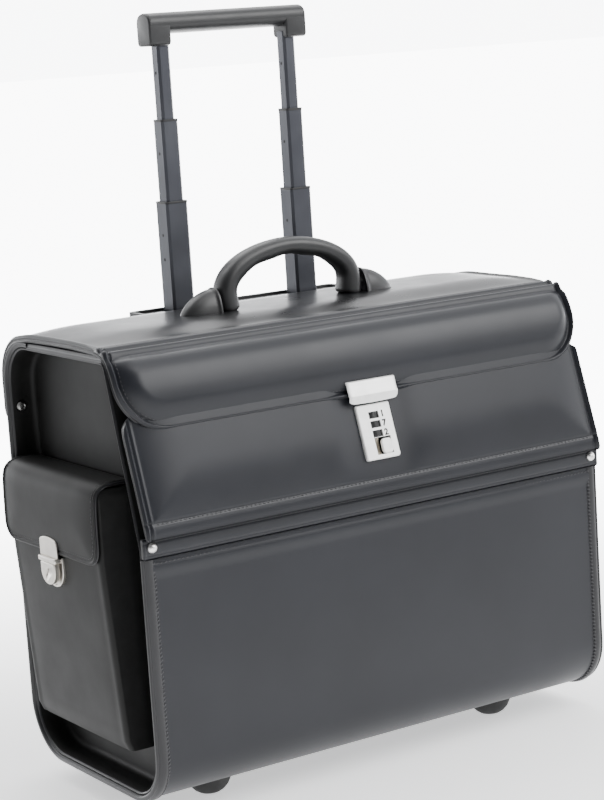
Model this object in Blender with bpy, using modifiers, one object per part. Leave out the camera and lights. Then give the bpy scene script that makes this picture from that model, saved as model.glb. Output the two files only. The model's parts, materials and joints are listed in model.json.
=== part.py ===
"""Pilot rolling flight case, modelled in metres with +Z up.

The case is a leather covered box with a sloping front, a flap lid and a
telescopic trolley that slides out of its back.  X runs along the case's
length, Y from the front to the back, Z up from the floor.  The side outline is
written in "case" coordinates, where y is 0 at the lower front face; place()
moves it so that the whole object's box is centred on the Z axis.
"""
import math

import bpy
import bmesh
from mathutils import Matrix, Vector

NAME = "pilot_flight_case"
GAP = 0.0003                    # clearance between touching pieces

# Overall case.
HALF_LENGTH = 0.240             # over the piped rims
DEPTH = 0.228                   # lower front face to back face
CENTRE_Y = 0.1111               # case y of the object's centre
BOTTOM_Z = 0.020
BODY_TOP_Z = 0.3955
WALL = 0.004                    # board with leather and lining
SHELL_HALF = 0.2365
FRONT_CORNER = 0.045
REAR_CORNER = 0.050
TOP_CORNER = 0.040
ARC_STEPS = 7

# Front: fixed lower face, hinge strip and sloping upper panel.
STRIP_LOW_Z = 0.2335
STRIP_HIGH_Z = 0.2510
STRIP_PROUD = 0.005
STRIP_HALF = 0.2395
FRONT_RIVET_X = 0.2317
FRONT_TOP_Z = 0.2500
PANEL_LOW_Z = 0.2540
PANEL_HIGH_Z = 0.3540
PANEL_THICK = 0.007
PANEL_HALF = 0.2385
PANEL_RISE = 0.32               # y per z of the sloping panel
PANEL_Y_AT_300 = 0.0047         # case y of its outer face at z 0.300
PANEL_HINGE = (-0.0045, 0.2512)

# Lid: top board and padded apron.
LID_HINGE = (0.1760, 0.3985)
LID_TOP_Z = 0.400
LID_THICK = 0.0035
LID_HALF = 0.2375
CREASE_Y = 0.0453
APRON_THICK = 0.0036
APRON_LOW_Z = 0.3340
APRON_CORNER = 0.040
APRON_HALF = 0.2400

# Leather over the rear top corner.
REAR_WRAP_HALF = 0.2400
REAR_WRAP_THICK = 0.0032
REAR_WRAP_LOW_Z = 0.3160

# End trays and pockets.
TRAY_PANEL_X = 0.212            # inboard face of the recessed end panel
TRAY_RIM_X = 0.2373
TRAY_THICK = 0.003
TRAY_SLOPE_LOW = (0.0048, 0.2400)
TRAY_SLOPE_HIGH = (0.0430, 0.3905)
PIPING_R = 0.0017
REAR_RIVET = (0.2300, 0.3350)
POCKET_Y = (0.048, 0.214)
POCKET_LOW_Z = 0.060
POCKET_HIGH_Z = 0.2860
POCKET_BACK_X = TRAY_PANEL_X + TRAY_THICK + GAP
POCKET_TOP_X = 0.2520
POCKET_LOW_X = 0.2410
POCKET_WALL = 0.003
FLAP_THICK = 0.003
FLAP_LOW_Z = 0.2215
FLAP_HINGE_Z = 0.2910
FLAP_CORNER = 0.015
TONGUE_HALF = 0.0155
TONGUE_Z = (0.2150, 0.2385)

# Inside.
INNER_HALF = TRAY_PANEL_X - 2 * GAP
BOARD_Y = (0.0460, 0.1600)
BOARD_THICK = 0.0030
DIVIDER_Y = (0.1180, 0.1220)
DIVIDER_TOP_Z = 0.2750
COVER_Y = (0.1920, 0.1945)
COVER_Z = (0.0610, 0.3610)

# Trolley.
TUBE_X = 0.0672
TUBE_Y = 0.2105
OUTER_TUBE = (0.0256, 0.0244, 0.0011)      # width, depth, wall
STAGES = (
    # width, depth, wall, bottom z, top z at rest
    (0.0224, 0.0214, 0.0011, 0.1610, 0.5010),
    (0.0172, 0.0172, 0.0011, 0.2550, 0.5745),
    (0.0128, 0.0134, 0.0009, 0.3400, 0.6470),
)
OUTER_TUBE_LOW_Z = 0.0625
BRACKET_HALF = 0.095
BRACKET_Y = (0.1955, 0.2190)
BRACKET_Z = (0.0510, 0.0622)
BEZEL_HALF = 0.112
BEZEL_Y = (0.1930, 0.2285)
BEZEL_Z = (0.3620, 0.4025)
GRIP_HALF = 0.0855
GRIP_LOW_Z = 0.6400
GRIP_BAR_Z = 0.6510
GRIP_TOP_Z = 0.6690
GRIP_DEPTH = 0.029
LEG_INNER_X = 0.0525

# Carry handle.
HANDLE_Y = 0.130
HUB_Z = 0.4145
HUB_R = 0.0112
HUB_X = (0.0560, 0.0795)
MOUNT_X = (0.0800, 0.1137)
ARCH_Z = 0.4565
HANDLE_R = 0.0082

# Wheels and feet.
WHEEL_R = 0.025
WHEEL_WIDTH = 0.020
WHEEL_X = 0.182
WHEEL_Y = 0.2020
HOUSING_HALF = 0.0165
HOUSING_FRONT_Y = 0.168
HOUSING_TOP_Z = 0.0585
HOUSING_PROUD = 0.0012
AXLE_R = 0.003
FOOT_R = 0.020
FOOT_X = 0.155
FOOT_Y = 0.067

# Combination lock, in the sloping panel's own frame.
LOCK_WIDTH = 0.035
LOCK_HEIGHT = 0.0485
LOCK_THICK = 0.0042
LOCK_DEEP = 0.0075
LOCK_CENTRE_Z = 0.3015
DIAL_R = 0.0046
DIAL_WIDTH = 0.0052
DIAL_PITCH = 0.0082

SLOPE = math.atan(PANEL_RISE)
LEFT_RIGHT = (("left", -1), ("right", 1))


def clear_scene():
    for obj in list(bpy.data.objects):
        bpy.data.objects.remove(obj, do_unlink=True)


def collection(name):
    made = bpy.data.collections.new(name)
    bpy.context.scene.collection.children.link(made)
    return made


clear_scene()
PARTS = collection(NAME)
CUTTERS = collection("cutters")


# ---------------------------------------------------------------- materials

def material(name, colour, roughness, metallic=0.0):
    mat = bpy.data.materials.new(name)
    mat.use_nodes = True
    shader = mat.node_tree.nodes["Principled BSDF"]
    shader.inputs["Base Color"].default_value = (*colour, 1.0)
    shader.inputs["Roughness"].default_value = roughness
    shader.inputs["Metallic"].default_value = metallic
    mat.diffuse_color = (*colour, 1.0)
    return mat


FINISHES = {
    "leather": ((0.022, 0.022, 0.024), 0.36, 0.0),
    "piping": ((0.016, 0.016, 0.018), 0.32, 0.0),
    "board": ((0.020, 0.020, 0.021), 0.60, 0.0),
    "lining": ((0.045, 0.045, 0.050), 0.85, 0.0),
    "tube": ((0.060, 0.062, 0.068), 0.38, 0.9),
    "plastic": ((0.020, 0.020, 0.022), 0.45, 0.0),
    "nickel": ((0.700, 0.690, 0.660), 0.26, 1.0),
    "rubber": ((0.018, 0.018, 0.018), 0.75, 0.0),
    "steel": ((0.480, 0.480, 0.490), 0.35, 1.0),
}


# ------------------------------------------------------------------ helpers

def place(y):
    """Case y to the object's own Y."""
    return y - CENTRE_Y


def panel_y(z):
    """Case y of the sloping panel's outer face at height z."""
    return PANEL_Y_AT_300 + PANEL_RISE * (z - 0.300)


def arc(centre_y, centre_z, radius, start, stop, steps=ARC_STEPS):
    """Points of an arc, from angle start to stop in degrees, +Y towards +Z."""
    points = []
    for i in range(steps + 1):
        angle = math.radians(start + (stop - start) * i / steps)
        points.append((centre_y + radius * math.cos(angle),
                       centre_z + radius * math.sin(angle)))
    return points


def from_bmesh(name, bm, home=PARTS):
    mesh = bpy.data.meshes.new(name)
    bm.to_mesh(mesh)
    bm.free()
    obj = bpy.data.objects.new(name, mesh)
    home.objects.link(obj)
    return obj


def finish(obj, slot):
    """Give the piece its own material, named for it, and smooth shading."""
    obj.data.materials.clear()
    obj.data.materials.append(material(obj.name + "_" + slot, *FINISHES[slot]))
    obj.data.shade_smooth()
    obj.data.set_sharp_from_angle(angle=math.radians(35))
    return obj


def solidify(obj, thickness, offset=-1.0):
    mod = obj.modifiers.new("thickness", "SOLIDIFY")
    mod.thickness = thickness
    mod.offset = offset
    mod.use_even_offset = True
    return mod


def bevel(obj, width, segments=2, angle=40):
    mod = obj.modifiers.new("edges", "BEVEL")
    mod.width = width
    mod.segments = segments
    mod.limit_method = "ANGLE"
    mod.angle_limit = math.radians(angle)
    return mod


def boolean(obj, other, operation="DIFFERENCE"):
    mod = obj.modifiers.new("cut_" + other.name, "BOOLEAN")
    mod.operation = operation
    mod.object = other
    mod.solver = "EXACT"
    other.hide_render = True
    other.display_type = "WIRE"
    return mod


def box(name, low, high, home=PARTS):
    """A box between two corners; its origin is at its centre."""
    bm = bmesh.new()
    bmesh.ops.create_cube(bm, size=1.0)
    size = [high[i] - low[i] for i in range(3)]
    bmesh.ops.scale(bm, vec=size, verts=bm.verts)
    obj = from_bmesh(name, bm, home)
    obj.location = [(low[i] + high[i]) / 2 for i in range(3)]
    return obj


def cylinder(name, radius, length, centre, axis="X", sides=24, home=PARTS):
    bm = bmesh.new()
    bmesh.ops.create_cone(bm, cap_ends=True, segments=sides, radius1=radius,
                          radius2=radius, depth=length)
    turn = {"X": Matrix.Rotation(math.pi / 2, 4, "Y"),
            "Y": Matrix.Rotation(-math.pi / 2, 4, "X"),
            "Z": Matrix.Identity(4)}[axis]
    bmesh.ops.transform(bm, matrix=turn, verts=bm.verts)
    obj = from_bmesh(name, bm, home)
    obj.location = centre
    return obj


def prism(name, outline, low, high, axis="X", home=PARTS):
    """A flat outline extruded along axis from low to high.

    The outline's pairs are (Y, Z) for axis X, and (X, Z) for axis Y.
    """
    bm = bmesh.new()
    verts = []
    for a, b in outline:
        verts.append(bm.verts.new((low, a, b) if axis == "X" else (a, low, b)))
    face = bm.faces.new(verts)
    made = bmesh.ops.extrude_face_region(bm, geom=[face])
    moved = [v for v in made["geom"] if isinstance(v, bmesh.types.BMVert)]
    shift = (high - low, 0, 0) if axis == "X" else (0, high - low, 0)
    bmesh.ops.translate(bm, vec=shift, verts=moved)
    bmesh.ops.recalc_face_normals(bm, faces=bm.faces)
    return from_bmesh(name, bm, home)


def sheet(name, chain, half, home=PARTS):
    """An open chain of (Y, Z) points extruded from -half to +half along X."""
    bm = bmesh.new()
    verts = [bm.verts.new((-half, y, z)) for y, z in chain]
    edges = [bm.edges.new(pair) for pair in zip(verts, verts[1:])]
    made = bmesh.ops.extrude_edge_only(bm, edges=edges)
    moved = [v for v in made["geom"] if isinstance(v, bmesh.types.BMVert)]
    bmesh.ops.translate(bm, vec=(2 * half, 0, 0), verts=moved)
    bmesh.ops.reverse_faces(bm, faces=bm.faces)
    return from_bmesh(name, bm, home)


def rounded_rectangle(low_a, high_a, low_b, high_b, low_r=0.0, high_r=0.0, steps=5):
    """Outline with low corners of radius low_r and high corners of high_r."""
    points = []
    corners = ((high_a, low_b, low_r, -90, -1, 1), (high_a, high_b, high_r, 0, -1, -1),
               (low_a, high_b, high_r, 90, 1, -1), (low_a, low_b, low_r, 180, 1, 1))
    for a, b, radius, start, side_a, side_b in corners:
        if radius <= 0:
            points.append((a, b))
            continue
        points += arc(a + side_a * radius, b + side_b * radius, radius, start,
                      start + 90, steps)
    return points


def swept(name, route, radius, resolution=1, closed=False, home=PARTS):
    """A round bead along a route of points, as a mesh with welded caps."""
    curve = bpy.data.curves.new(name + "_route", "CURVE")
    curve.dimensions = "3D"
    curve.bevel_depth = radius
    curve.bevel_resolution = resolution
    curve.use_fill_caps = not closed
    spline = curve.splines.new("POLY")
    spline.points.add(len(route) - 1)
    for point, place_at in zip(spline.points, route):
        point.co = (*place_at, 1.0)
    spline.use_cyclic_u = closed
    guide = bpy.data.objects.new(name + "_guide", curve)
    home.objects.link(guide)
    bpy.context.view_layer.update()
    graph = bpy.context.evaluated_depsgraph_get()
    mesh = bpy.data.meshes.new_from_object(guide.evaluated_get(graph))
    mesh.name = name
    bm = bmesh.new()
    bm.from_mesh(mesh)
    bmesh.ops.remove_doubles(bm, verts=bm.verts, dist=0.00001)
    bmesh.ops.recalc_face_normals(bm, faces=bm.faces)
    bm.to_mesh(mesh)
    bm.free()
    obj = bpy.data.objects.new(name, mesh)
    obj.matrix_world = guide.matrix_world
    home.objects.link(obj)
    bpy.data.objects.remove(guide, do_unlink=True)
    bpy.data.curves.remove(curve)
    return obj


def turned(name, profile, centre, axis="Z", steps=24):
    """A solid of revolution from a profile of (radius, height) pairs, top first.

    A profile that ends on its first point is a ring.
    """
    bm = bmesh.new()
    ring = profile[0] == profile[-1]
    points = profile[:-1] if ring else profile
    verts = [bm.verts.new((radius, 0, height)) for radius, height in points]
    for pair in zip(verts, verts[1:] + verts[:1] if ring else verts[1:]):
        bm.edges.new(pair)
    obj = from_bmesh(name, bm)
    mod = obj.modifiers.new("turn", "SCREW")
    mod.steps = steps
    mod.render_steps = steps
    mod.use_merge_vertices = True
    mod.merge_threshold = 0.00001
    obj.location = centre
    if axis == "X":
        obj.rotation_euler = (0, math.pi / 2, 0)
    elif axis == "-X":
        obj.rotation_euler = (0, -math.pi / 2, 0)
    elif axis == "-Y":
        obj.rotation_euler = (math.pi / 2, 0, 0)
    return obj


def joint_empty(name, centre):
    """An empty on a joint's axis; what moves there is parented to it."""
    empty = bpy.data.objects.new(name, None)
    empty.empty_display_size = 0.02
    empty.location = centre
    PARTS.objects.link(empty)
    return empty


def carry(parent, *pieces):
    bpy.context.view_layer.update()
    for piece in pieces:
        piece.parent = parent
        piece.matrix_parent_inverse = parent.matrix_world.inverted()


# ------------------------------------------------------------ shell and ends

def shell_chain(inset, front_top, rear_top_y):
    """The U-shaped side section: front, bottom, back and rear top corner."""
    chain = [(place(inset), front_top)]
    chain += arc(place(FRONT_CORNER), BOTTOM_Z + FRONT_CORNER, FRONT_CORNER - inset,
                 180, 270)
    chain += arc(place(DEPTH - REAR_CORNER), BOTTOM_Z + REAR_CORNER,
                 REAR_CORNER - inset, 270, 360)
    chain += arc(place(DEPTH - TOP_CORNER), BODY_TOP_Z - TOP_CORNER,
                 TOP_CORNER - inset, 0, 90)
    chain.append((place(rear_top_y), BODY_TOP_Z - inset))
    return chain


def tray_outline():
    """The closed outline of an end tray, just inside the shell."""
    inset = WALL + GAP
    outline = [(place(y), z) for y, z in (TRAY_SLOPE_HIGH, TRAY_SLOPE_LOW)]
    outline += shell_chain(inset, TRAY_SLOPE_LOW[1], LID_HINGE[0])[1:-1]
    outline.append((place(LID_HINGE[0]), BODY_TOP_Z - inset))
    return outline


def bezel_cutter():
    low = (-BEZEL_HALF - GAP, place(BEZEL_Y[0]) - GAP, BEZEL_Z[0] - GAP)
    high = (BEZEL_HALF + GAP, place(BEZEL_Y[1]) + 0.02, BEZEL_Z[1] + 0.02)
    return box("cut_bezel", low, high, CUTTERS)


def housing_outline(grow=0.0):
    """Side outline of a wheel housing, a block that fills the lower rear corner."""
    low_y = place(HOUSING_FRONT_Y) - grow
    high_z = HOUSING_TOP_Z + grow
    proud = HOUSING_PROUD + grow
    rear = place(DEPTH) + proud
    bottom = BOTTOM_Z - proud
    radius = REAR_CORNER + proud
    outline = [(low_y, high_z), (low_y, bottom)]
    outline += arc(place(DEPTH - REAR_CORNER), BOTTOM_Z + REAR_CORNER, radius, 270,
                   346, 6)
    top = [point for point in outline if point[1] < high_z]
    reach = math.sqrt(radius ** 2 - (high_z - BOTTOM_Z - REAR_CORNER) ** 2)
    top.append((min(rear, place(DEPTH - REAR_CORNER) + reach), high_z))
    return [(low_y, high_z)] + top


def make_shell():
    wrap = sheet("body_wrap", shell_chain(0, FRONT_TOP_Z, LID_HINGE[0] + 0.001), SHELL_HALF)
    solidify(wrap, WALL)
    boolean(wrap, bezel_cutter())
    for side, sign in LEFT_RIGHT:
        ends = sorted((sign * (WHEEL_X - HOUSING_HALF), sign * (WHEEL_X + HOUSING_HALF)))
        hole = prism("cut_housing_" + side, housing_outline(GAP), ends[0] - GAP,
                     ends[1] + GAP, home=CUTTERS)
        boolean(wrap, hole)
    finish(wrap, "leather")

    for side, sign in LEFT_RIGHT:
        bm = bmesh.new()
        inboard = sign * TRAY_PANEL_X
        verts = [bm.verts.new((inboard, y, z)) for y, z in tray_outline()]
        face = bm.faces.new(verts)
        rim = bmesh.ops.extrude_edge_only(bm, edges=list(face.edges))
        moved = [v for v in rim["geom"] if isinstance(v, bmesh.types.BMVert)]
        bmesh.ops.translate(bm, vec=(sign * (TRAY_RIM_X - TRAY_PANEL_X), 0, 0),
                            verts=moved)
        bmesh.ops.recalc_face_normals(bm, faces=bm.faces)
        face = min(bm.faces, key=lambda f: abs(f.calc_center_median().x))
        if face.normal.x * sign > 0:
            bmesh.ops.reverse_faces(bm, faces=bm.faces)
        tray = from_bmesh("end_tray_" + side, bm)
        solidify(tray, TRAY_THICK)
        finish(tray, "leather")

        route = shell_chain(WALL / 2, STRIP_LOW_Z - 0.001, LID_HINGE[0] + 0.002)
        bead = swept("rim_piping_" + side,
                     [(sign * (HALF_LENGTH - PIPING_R + 0.0002), y, z) for y, z in route],
                     PIPING_R)
        finish(bead, "piping")


def make_rear_top():
    """The leather that runs from the lid's hinge over the corner and down the back."""
    inset = -(GAP + REAR_WRAP_THICK)
    chain = [(place(DEPTH) - inset, REAR_WRAP_LOW_Z)]
    chain += arc(place(DEPTH - TOP_CORNER), BODY_TOP_Z - TOP_CORNER,
                 TOP_CORNER - inset, 0, 90)
    chain.append((place(LID_HINGE[0]) + 0.001, BODY_TOP_Z - inset))
    wrap = sheet("rear_top_wrap", chain, REAR_WRAP_HALF)
    solidify(wrap, REAR_WRAP_THICK)
    boolean(wrap, bpy.data.objects["cut_bezel"])
    finish(wrap, "leather")


def make_strip():
    y_front = place(0) - STRIP_PROUD
    strip = box("hinge_strip", (-STRIP_HALF, y_front, STRIP_LOW_Z),
                (STRIP_HALF, place(0) - GAP, STRIP_HIGH_Z))
    bevel(strip, 0.0014)
    rivet_z = (STRIP_LOW_Z + STRIP_HIGH_Z) / 2 + 0.001
    for side, sign in LEFT_RIGHT:
        x = sign * FRONT_RIVET_X
        hole = cylinder("cut_rivet_" + side, 0.0019, 0.02,
                        (x, place(0), rivet_z), "Y", 16, CUTTERS)
        boolean(strip, hole)
        profile = [(0, 0.0022), (0.0018, 0.0020), (0.0033, 0.0013), (0.0042, 0.0003),
                   (0.0042, 0), (0.0016, 0), (0.0016, -0.0040), (0, -0.0040)]
        rivet = turned("front_rivet_" + side, profile, (x, y_front - GAP, rivet_z),
                       "-Y", 20)
        finish(rivet, "nickel")
    finish(strip, "leather")


def make_rear_rivets():
    """Rivets on the forward faces of the trays' rear flanges."""
    y = place(DEPTH - WALL - GAP - TRAY_THICK - GAP)
    for side, sign in LEFT_RIGHT:
        profile = [(0, 0.0022), (0.0020, 0.0020), (0.0036, 0.0012), (0.0043, 0.0002),
                   (0.0043, 0), (0, 0)]
        rivet = turned("rear_rivet_" + side, profile, (sign * REAR_RIVET[0], y, REAR_RIVET[1]),
                       "-Y", 20)
        finish(rivet, "nickel")


# ---------------------------------------------------------------- interior

def make_interior():
    board_low = BOTTOM_Z + WALL + GAP
    board_high = board_low + BOARD_THICK
    board = box("base_board", (-INNER_HALF, place(BOARD_Y[0]), board_low),
                (INNER_HALF, place(BOARD_Y[1]), board_high))
    bevel(board, 0.0008, 1)
    finish(board, "board")

    divider = box("divider", (-INNER_HALF, place(DIVIDER_Y[0]), board_high + GAP),
                  (INNER_HALF, place(DIVIDER_Y[1]), DIVIDER_TOP_Z))
    bevel(divider, 0.0015)
    finish(divider, "lining")

    cover = box("trolley_cover", (-INNER_HALF, place(COVER_Y[0]), COVER_Z[0]),
                (INNER_HALF, place(COVER_Y[1]), COVER_Z[1]))
    bevel(cover, 0.0008, 1)
    finish(cover, "lining")


# ----------------------------------------------------------------- trolley

def hollow_tube(name, width, depth, wall, low_z, high_z, x, slot):
    tube = box(name, (x - width / 2, place(TUBE_Y) - depth / 2, low_z),
               (x + width / 2, place(TUBE_Y) + depth / 2, high_z))
    bevel(tube, 0.0022, 1)
    bore = box("cut_" + name, (x - width / 2 + wall, place(TUBE_Y) - depth / 2 + wall,
                               low_z - 0.01),
               (x + width / 2 - wall, place(TUBE_Y) + depth / 2 - wall, high_z + 0.01),
               CUTTERS)
    bevel(bore, 0.0014, 1)
    boolean(tube, bore)
    finish(tube, slot)
    return tube


def make_trolley():
    width, depth, wall = OUTER_TUBE
    for side, sign in LEFT_RIGHT:
        hollow_tube("trolley_outer_tube_" + side, width, depth, wall, OUTER_TUBE_LOW_Z,
                    BEZEL_Z[0] - GAP, sign * TUBE_X, "tube")

    bracket = box("trolley_base_bracket", (-BRACKET_HALF, place(BRACKET_Y[0]), BRACKET_Z[0]),
                  (BRACKET_HALF, place(BRACKET_Y[1]), BRACKET_Z[1]))
    bevel(bracket, 0.0012, 1)
    finish(bracket, "plastic")

    bezel = box("trolley_bezel", (-BEZEL_HALF, place(BEZEL_Y[0]), BEZEL_Z[0]),
                (BEZEL_HALF, place(BEZEL_Y[1]), BEZEL_Z[1]))
    bevel(bezel, 0.0030, 2)
    stage = STAGES[0]
    for side, sign in LEFT_RIGHT:
        clear = 0.0004
        hole = box("cut_bezel_" + side,
                   (sign * TUBE_X - stage[0] / 2 - clear,
                    place(TUBE_Y) - stage[1] / 2 - clear, BEZEL_Z[0] - 0.01),
                   (sign * TUBE_X + stage[0] / 2 + clear,
                    place(TUBE_Y) + stage[1] / 2 + clear, BEZEL_Z[1] + 0.01), CUTTERS)
        boolean(bezel, hole)
    finish(bezel, "plastic")

    parent = None
    for number, (width, depth, wall, low_z, high_z) in enumerate(STAGES, 1):
        slide = joint_empty("trolley_slide_%d" % number, (0, place(TUBE_Y), high_z))
        for side, sign in LEFT_RIGHT:
            tube = hollow_tube("stage%d_tube_%s" % (number, side), width, depth, wall,
                               low_z, high_z, sign * TUBE_X, "tube")
            carry(slide, tube)
        if parent:
            carry(parent, slide)
        parent = slide

    grip = make_grip()
    carry(parent, grip)


def make_grip():
    """The T grip: a rounded bar on two short legs that take the thinnest tubes."""
    outline = [(-GRIP_HALF, GRIP_LOW_Z), (-LEG_INNER_X, GRIP_LOW_Z)]
    outline += [(-LEG_INNER_X + 0.003, GRIP_BAR_Z), (LEG_INNER_X - 0.003, GRIP_BAR_Z)]
    outline += [(LEG_INNER_X, GRIP_LOW_Z), (GRIP_HALF, GRIP_LOW_Z)]
    outline += arc(GRIP_HALF - 0.010, GRIP_TOP_Z - 0.010, 0.010, 0, 90, 4)
    outline += arc(-GRIP_HALF + 0.010, GRIP_TOP_Z - 0.010, 0.010, 90, 180, 4)
    depth = GRIP_DEPTH / 2
    grip = prism("trolley_grip", outline, place(TUBE_Y) - depth, place(TUBE_Y) + depth,
                 "Y")
    bevel(grip, 0.0055, 3, 50)
    width, depth, _, _, high_z = STAGES[2]
    for side, sign in LEFT_RIGHT:
        x = sign * TUBE_X
        hole = box("cut_grip_" + side,
                   (x - width / 2 - GAP, place(TUBE_Y) - depth / 2 - GAP,
                    GRIP_LOW_Z - 0.01),
                   (x + width / 2 + GAP, place(TUBE_Y) + depth / 2 + GAP, high_z + GAP),
                   CUTTERS)
        boolean(grip, hole)
    finish(grip, "plastic")
    return grip


# ---------------------------------------------------------------------- lid

def make_lid():
    hinge = joint_empty("lid_hinge", (0, place(LID_HINGE[0]), LID_HINGE[1]))
    fold = 0.0030
    shoulder = [(place(CREASE_Y) + fold, LID_TOP_Z), (place(CREASE_Y - 0.003), 0.3985),
                (place(0.0345), 0.3915), (place(0.0275), 0.3820),
                (place(panel_y(0.366)) - APRON_THICK - 0.0008, 0.366),
                (place(panel_y(APRON_LOW_Z)) - APRON_THICK - 0.0008, APRON_LOW_Z)]
    top = box("lid_panel", (-LID_HALF, place(CREASE_Y) + fold + 0.0012,
                            LID_TOP_Z - LID_THICK),
              (LID_HALF, place(LID_HINGE[0]) - 0.0008, LID_TOP_Z))
    bevel(top, 0.0010, 1)
    finish(top, "leather")

    apron = sheet("lid_apron", shoulder, APRON_HALF)
    solidify(apron, APRON_THICK, -1.0)
    keep = prism("keep_apron",
                 rounded_rectangle(-APRON_HALF, APRON_HALF, APRON_LOW_Z, 0.45,
                                   APRON_CORNER, 0, 8),
                 place(-0.03), place(0.09), "Y", CUTTERS)
    boolean(apron, keep, "INTERSECT")
    finish(apron, "leather")
    carry(hinge, top, apron, make_hasp())
    return hinge


def tilt(obj, x, out, z):
    """Place a piece in the sloping panel's frame: out from its face, at height z."""
    obj.rotation_euler = (-SLOPE, 0, 0)
    origin = Vector((x, place(panel_y(z)), z))
    normal = Vector((0, -math.cos(SLOPE), math.sin(SLOPE)))
    obj.location = origin + normal * out
    return obj


def make_hasp():
    """The metal cap on the apron's lower edge, over the lock."""
    outline = [(-0.0255, 0.0085), (-0.0255, -0.0060), (-0.0235, -0.0085),
               (0.0175, -0.0085), (0.0255, -0.0010), (0.0255, 0.0085)]
    hasp = prism("hasp", outline, -0.0050, 0.0, "Y")
    bevel(hasp, 0.0010, 2)
    tilt(hasp, 0.0005, APRON_THICK + 0.0008 + GAP, 0.3380)
    return finish(hasp, "nickel")


def make_handle(lid_hinge):
    swing = joint_empty("handle_hinge", (0, place(HANDLE_Y), HUB_Z))
    carry(lid_hinge, swing)
    route = []
    steps = 20
    for i in range(steps + 1):
        angle = math.pi * i / steps
        x = -0.0675 * math.copysign(abs(math.cos(angle)) ** 0.85, math.cos(angle))
        z = HUB_Z + 0.003 + (ARCH_Z - HUB_Z - 0.003) * math.sin(angle) ** 0.75
        route.append((x, 0, z - HUB_Z))
    arch = swept("carry_handle", route, HANDLE_R, 2)
    for vert in arch.data.vertices:
        vert.co.y *= 1.2
    arch.location = (0, place(HANDLE_Y), HUB_Z)
    for side, sign in LEFT_RIGHT:
        middle = sign * sum(HUB_X) / 2
        hub = cylinder("join_hub_" + side, HUB_R, HUB_X[1] - HUB_X[0],
                       (middle, place(HANDLE_Y), HUB_Z), "X", 20, CUTTERS)
        boolean(arch, hub, "UNION")
        bore = cylinder("cut_hub_" + side, 0.0028, 0.024,
                        (sign * HUB_X[1], place(HANDLE_Y), HUB_Z), "X", 16, CUTTERS)
        boolean(arch, bore)
    finish(arch, "plastic")
    carry(swing, arch)

    for side, sign in LEFT_RIGHT:
        inner, outer = MOUNT_X
        outline = [(sign * inner, LID_TOP_Z + GAP), (sign * outer, LID_TOP_Z + GAP),
                   (sign * outer, 0.4045)]
        for i in range(6):
            share = (i + 1) / 6
            x = outer + (inner - outer) * share
            z = 0.4045 + (0.4265 - 0.4045) * math.sin(share * math.pi / 2)
            outline.append((sign * x, z))
        mount = prism("handle_mount_" + side, outline, place(HANDLE_Y) - 0.0125,
                      place(HANDLE_Y) + 0.0125, "Y")
        bevel(mount, 0.0040, 2, 60)
        bore = cylinder("cut_mount_" + side, 0.0028, 0.020,
                        (sign * inner, place(HANDLE_Y), HUB_Z), "X", 16, CUTTERS)
        boolean(mount, bore)
        finish(mount, "plastic")
        pin = cylinder("handle_pin_" + side, 0.0025, 0.0170,
                       (sign * (inner - 0.0002), place(HANDLE_Y), HUB_Z), "X", 16)
        finish(pin, "steel")
        carry(lid_hinge, mount, pin)


# -------------------------------------------------------------- front panel

def make_front_panel():
    hinge = joint_empty("front_panel_hinge", (0, place(PANEL_HINGE[0]), PANEL_HINGE[1]))
    length = (PANEL_HIGH_Z - PANEL_LOW_Z) / math.cos(SLOPE)
    outline = rounded_rectangle(-PANEL_HALF, PANEL_HALF, 0, length, 0.004, 0.012, 4)
    panel = prism("front_upper_panel", outline, 0.0, PANEL_THICK, "Y")
    bevel(panel, 0.0022, 2, 60)
    tilt(panel, 0, 0, PANEL_LOW_Z)
    hole = box("cut_lock", (-0.0138, -0.02, -0.0226), (0.0138, 0.02, 0.0218), CUTTERS)
    tilt(hole, 0, 0, LOCK_CENTRE_Z)
    boolean(panel, hole)
    finish(panel, "leather")
    carry(hinge, panel)
    make_lock(hinge)


def lock_box(name, low, high, home=CUTTERS):
    """A box in the lock's own frame: x across, y into the panel, z up its slope."""
    obj = box(name, low, high, home)
    bpy.context.view_layer.update()
    obj.data.transform(obj.matrix_world)
    obj.matrix_world = Matrix.Identity(4)
    return tilt(obj, 0, 0, LOCK_CENTRE_Z)


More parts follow.
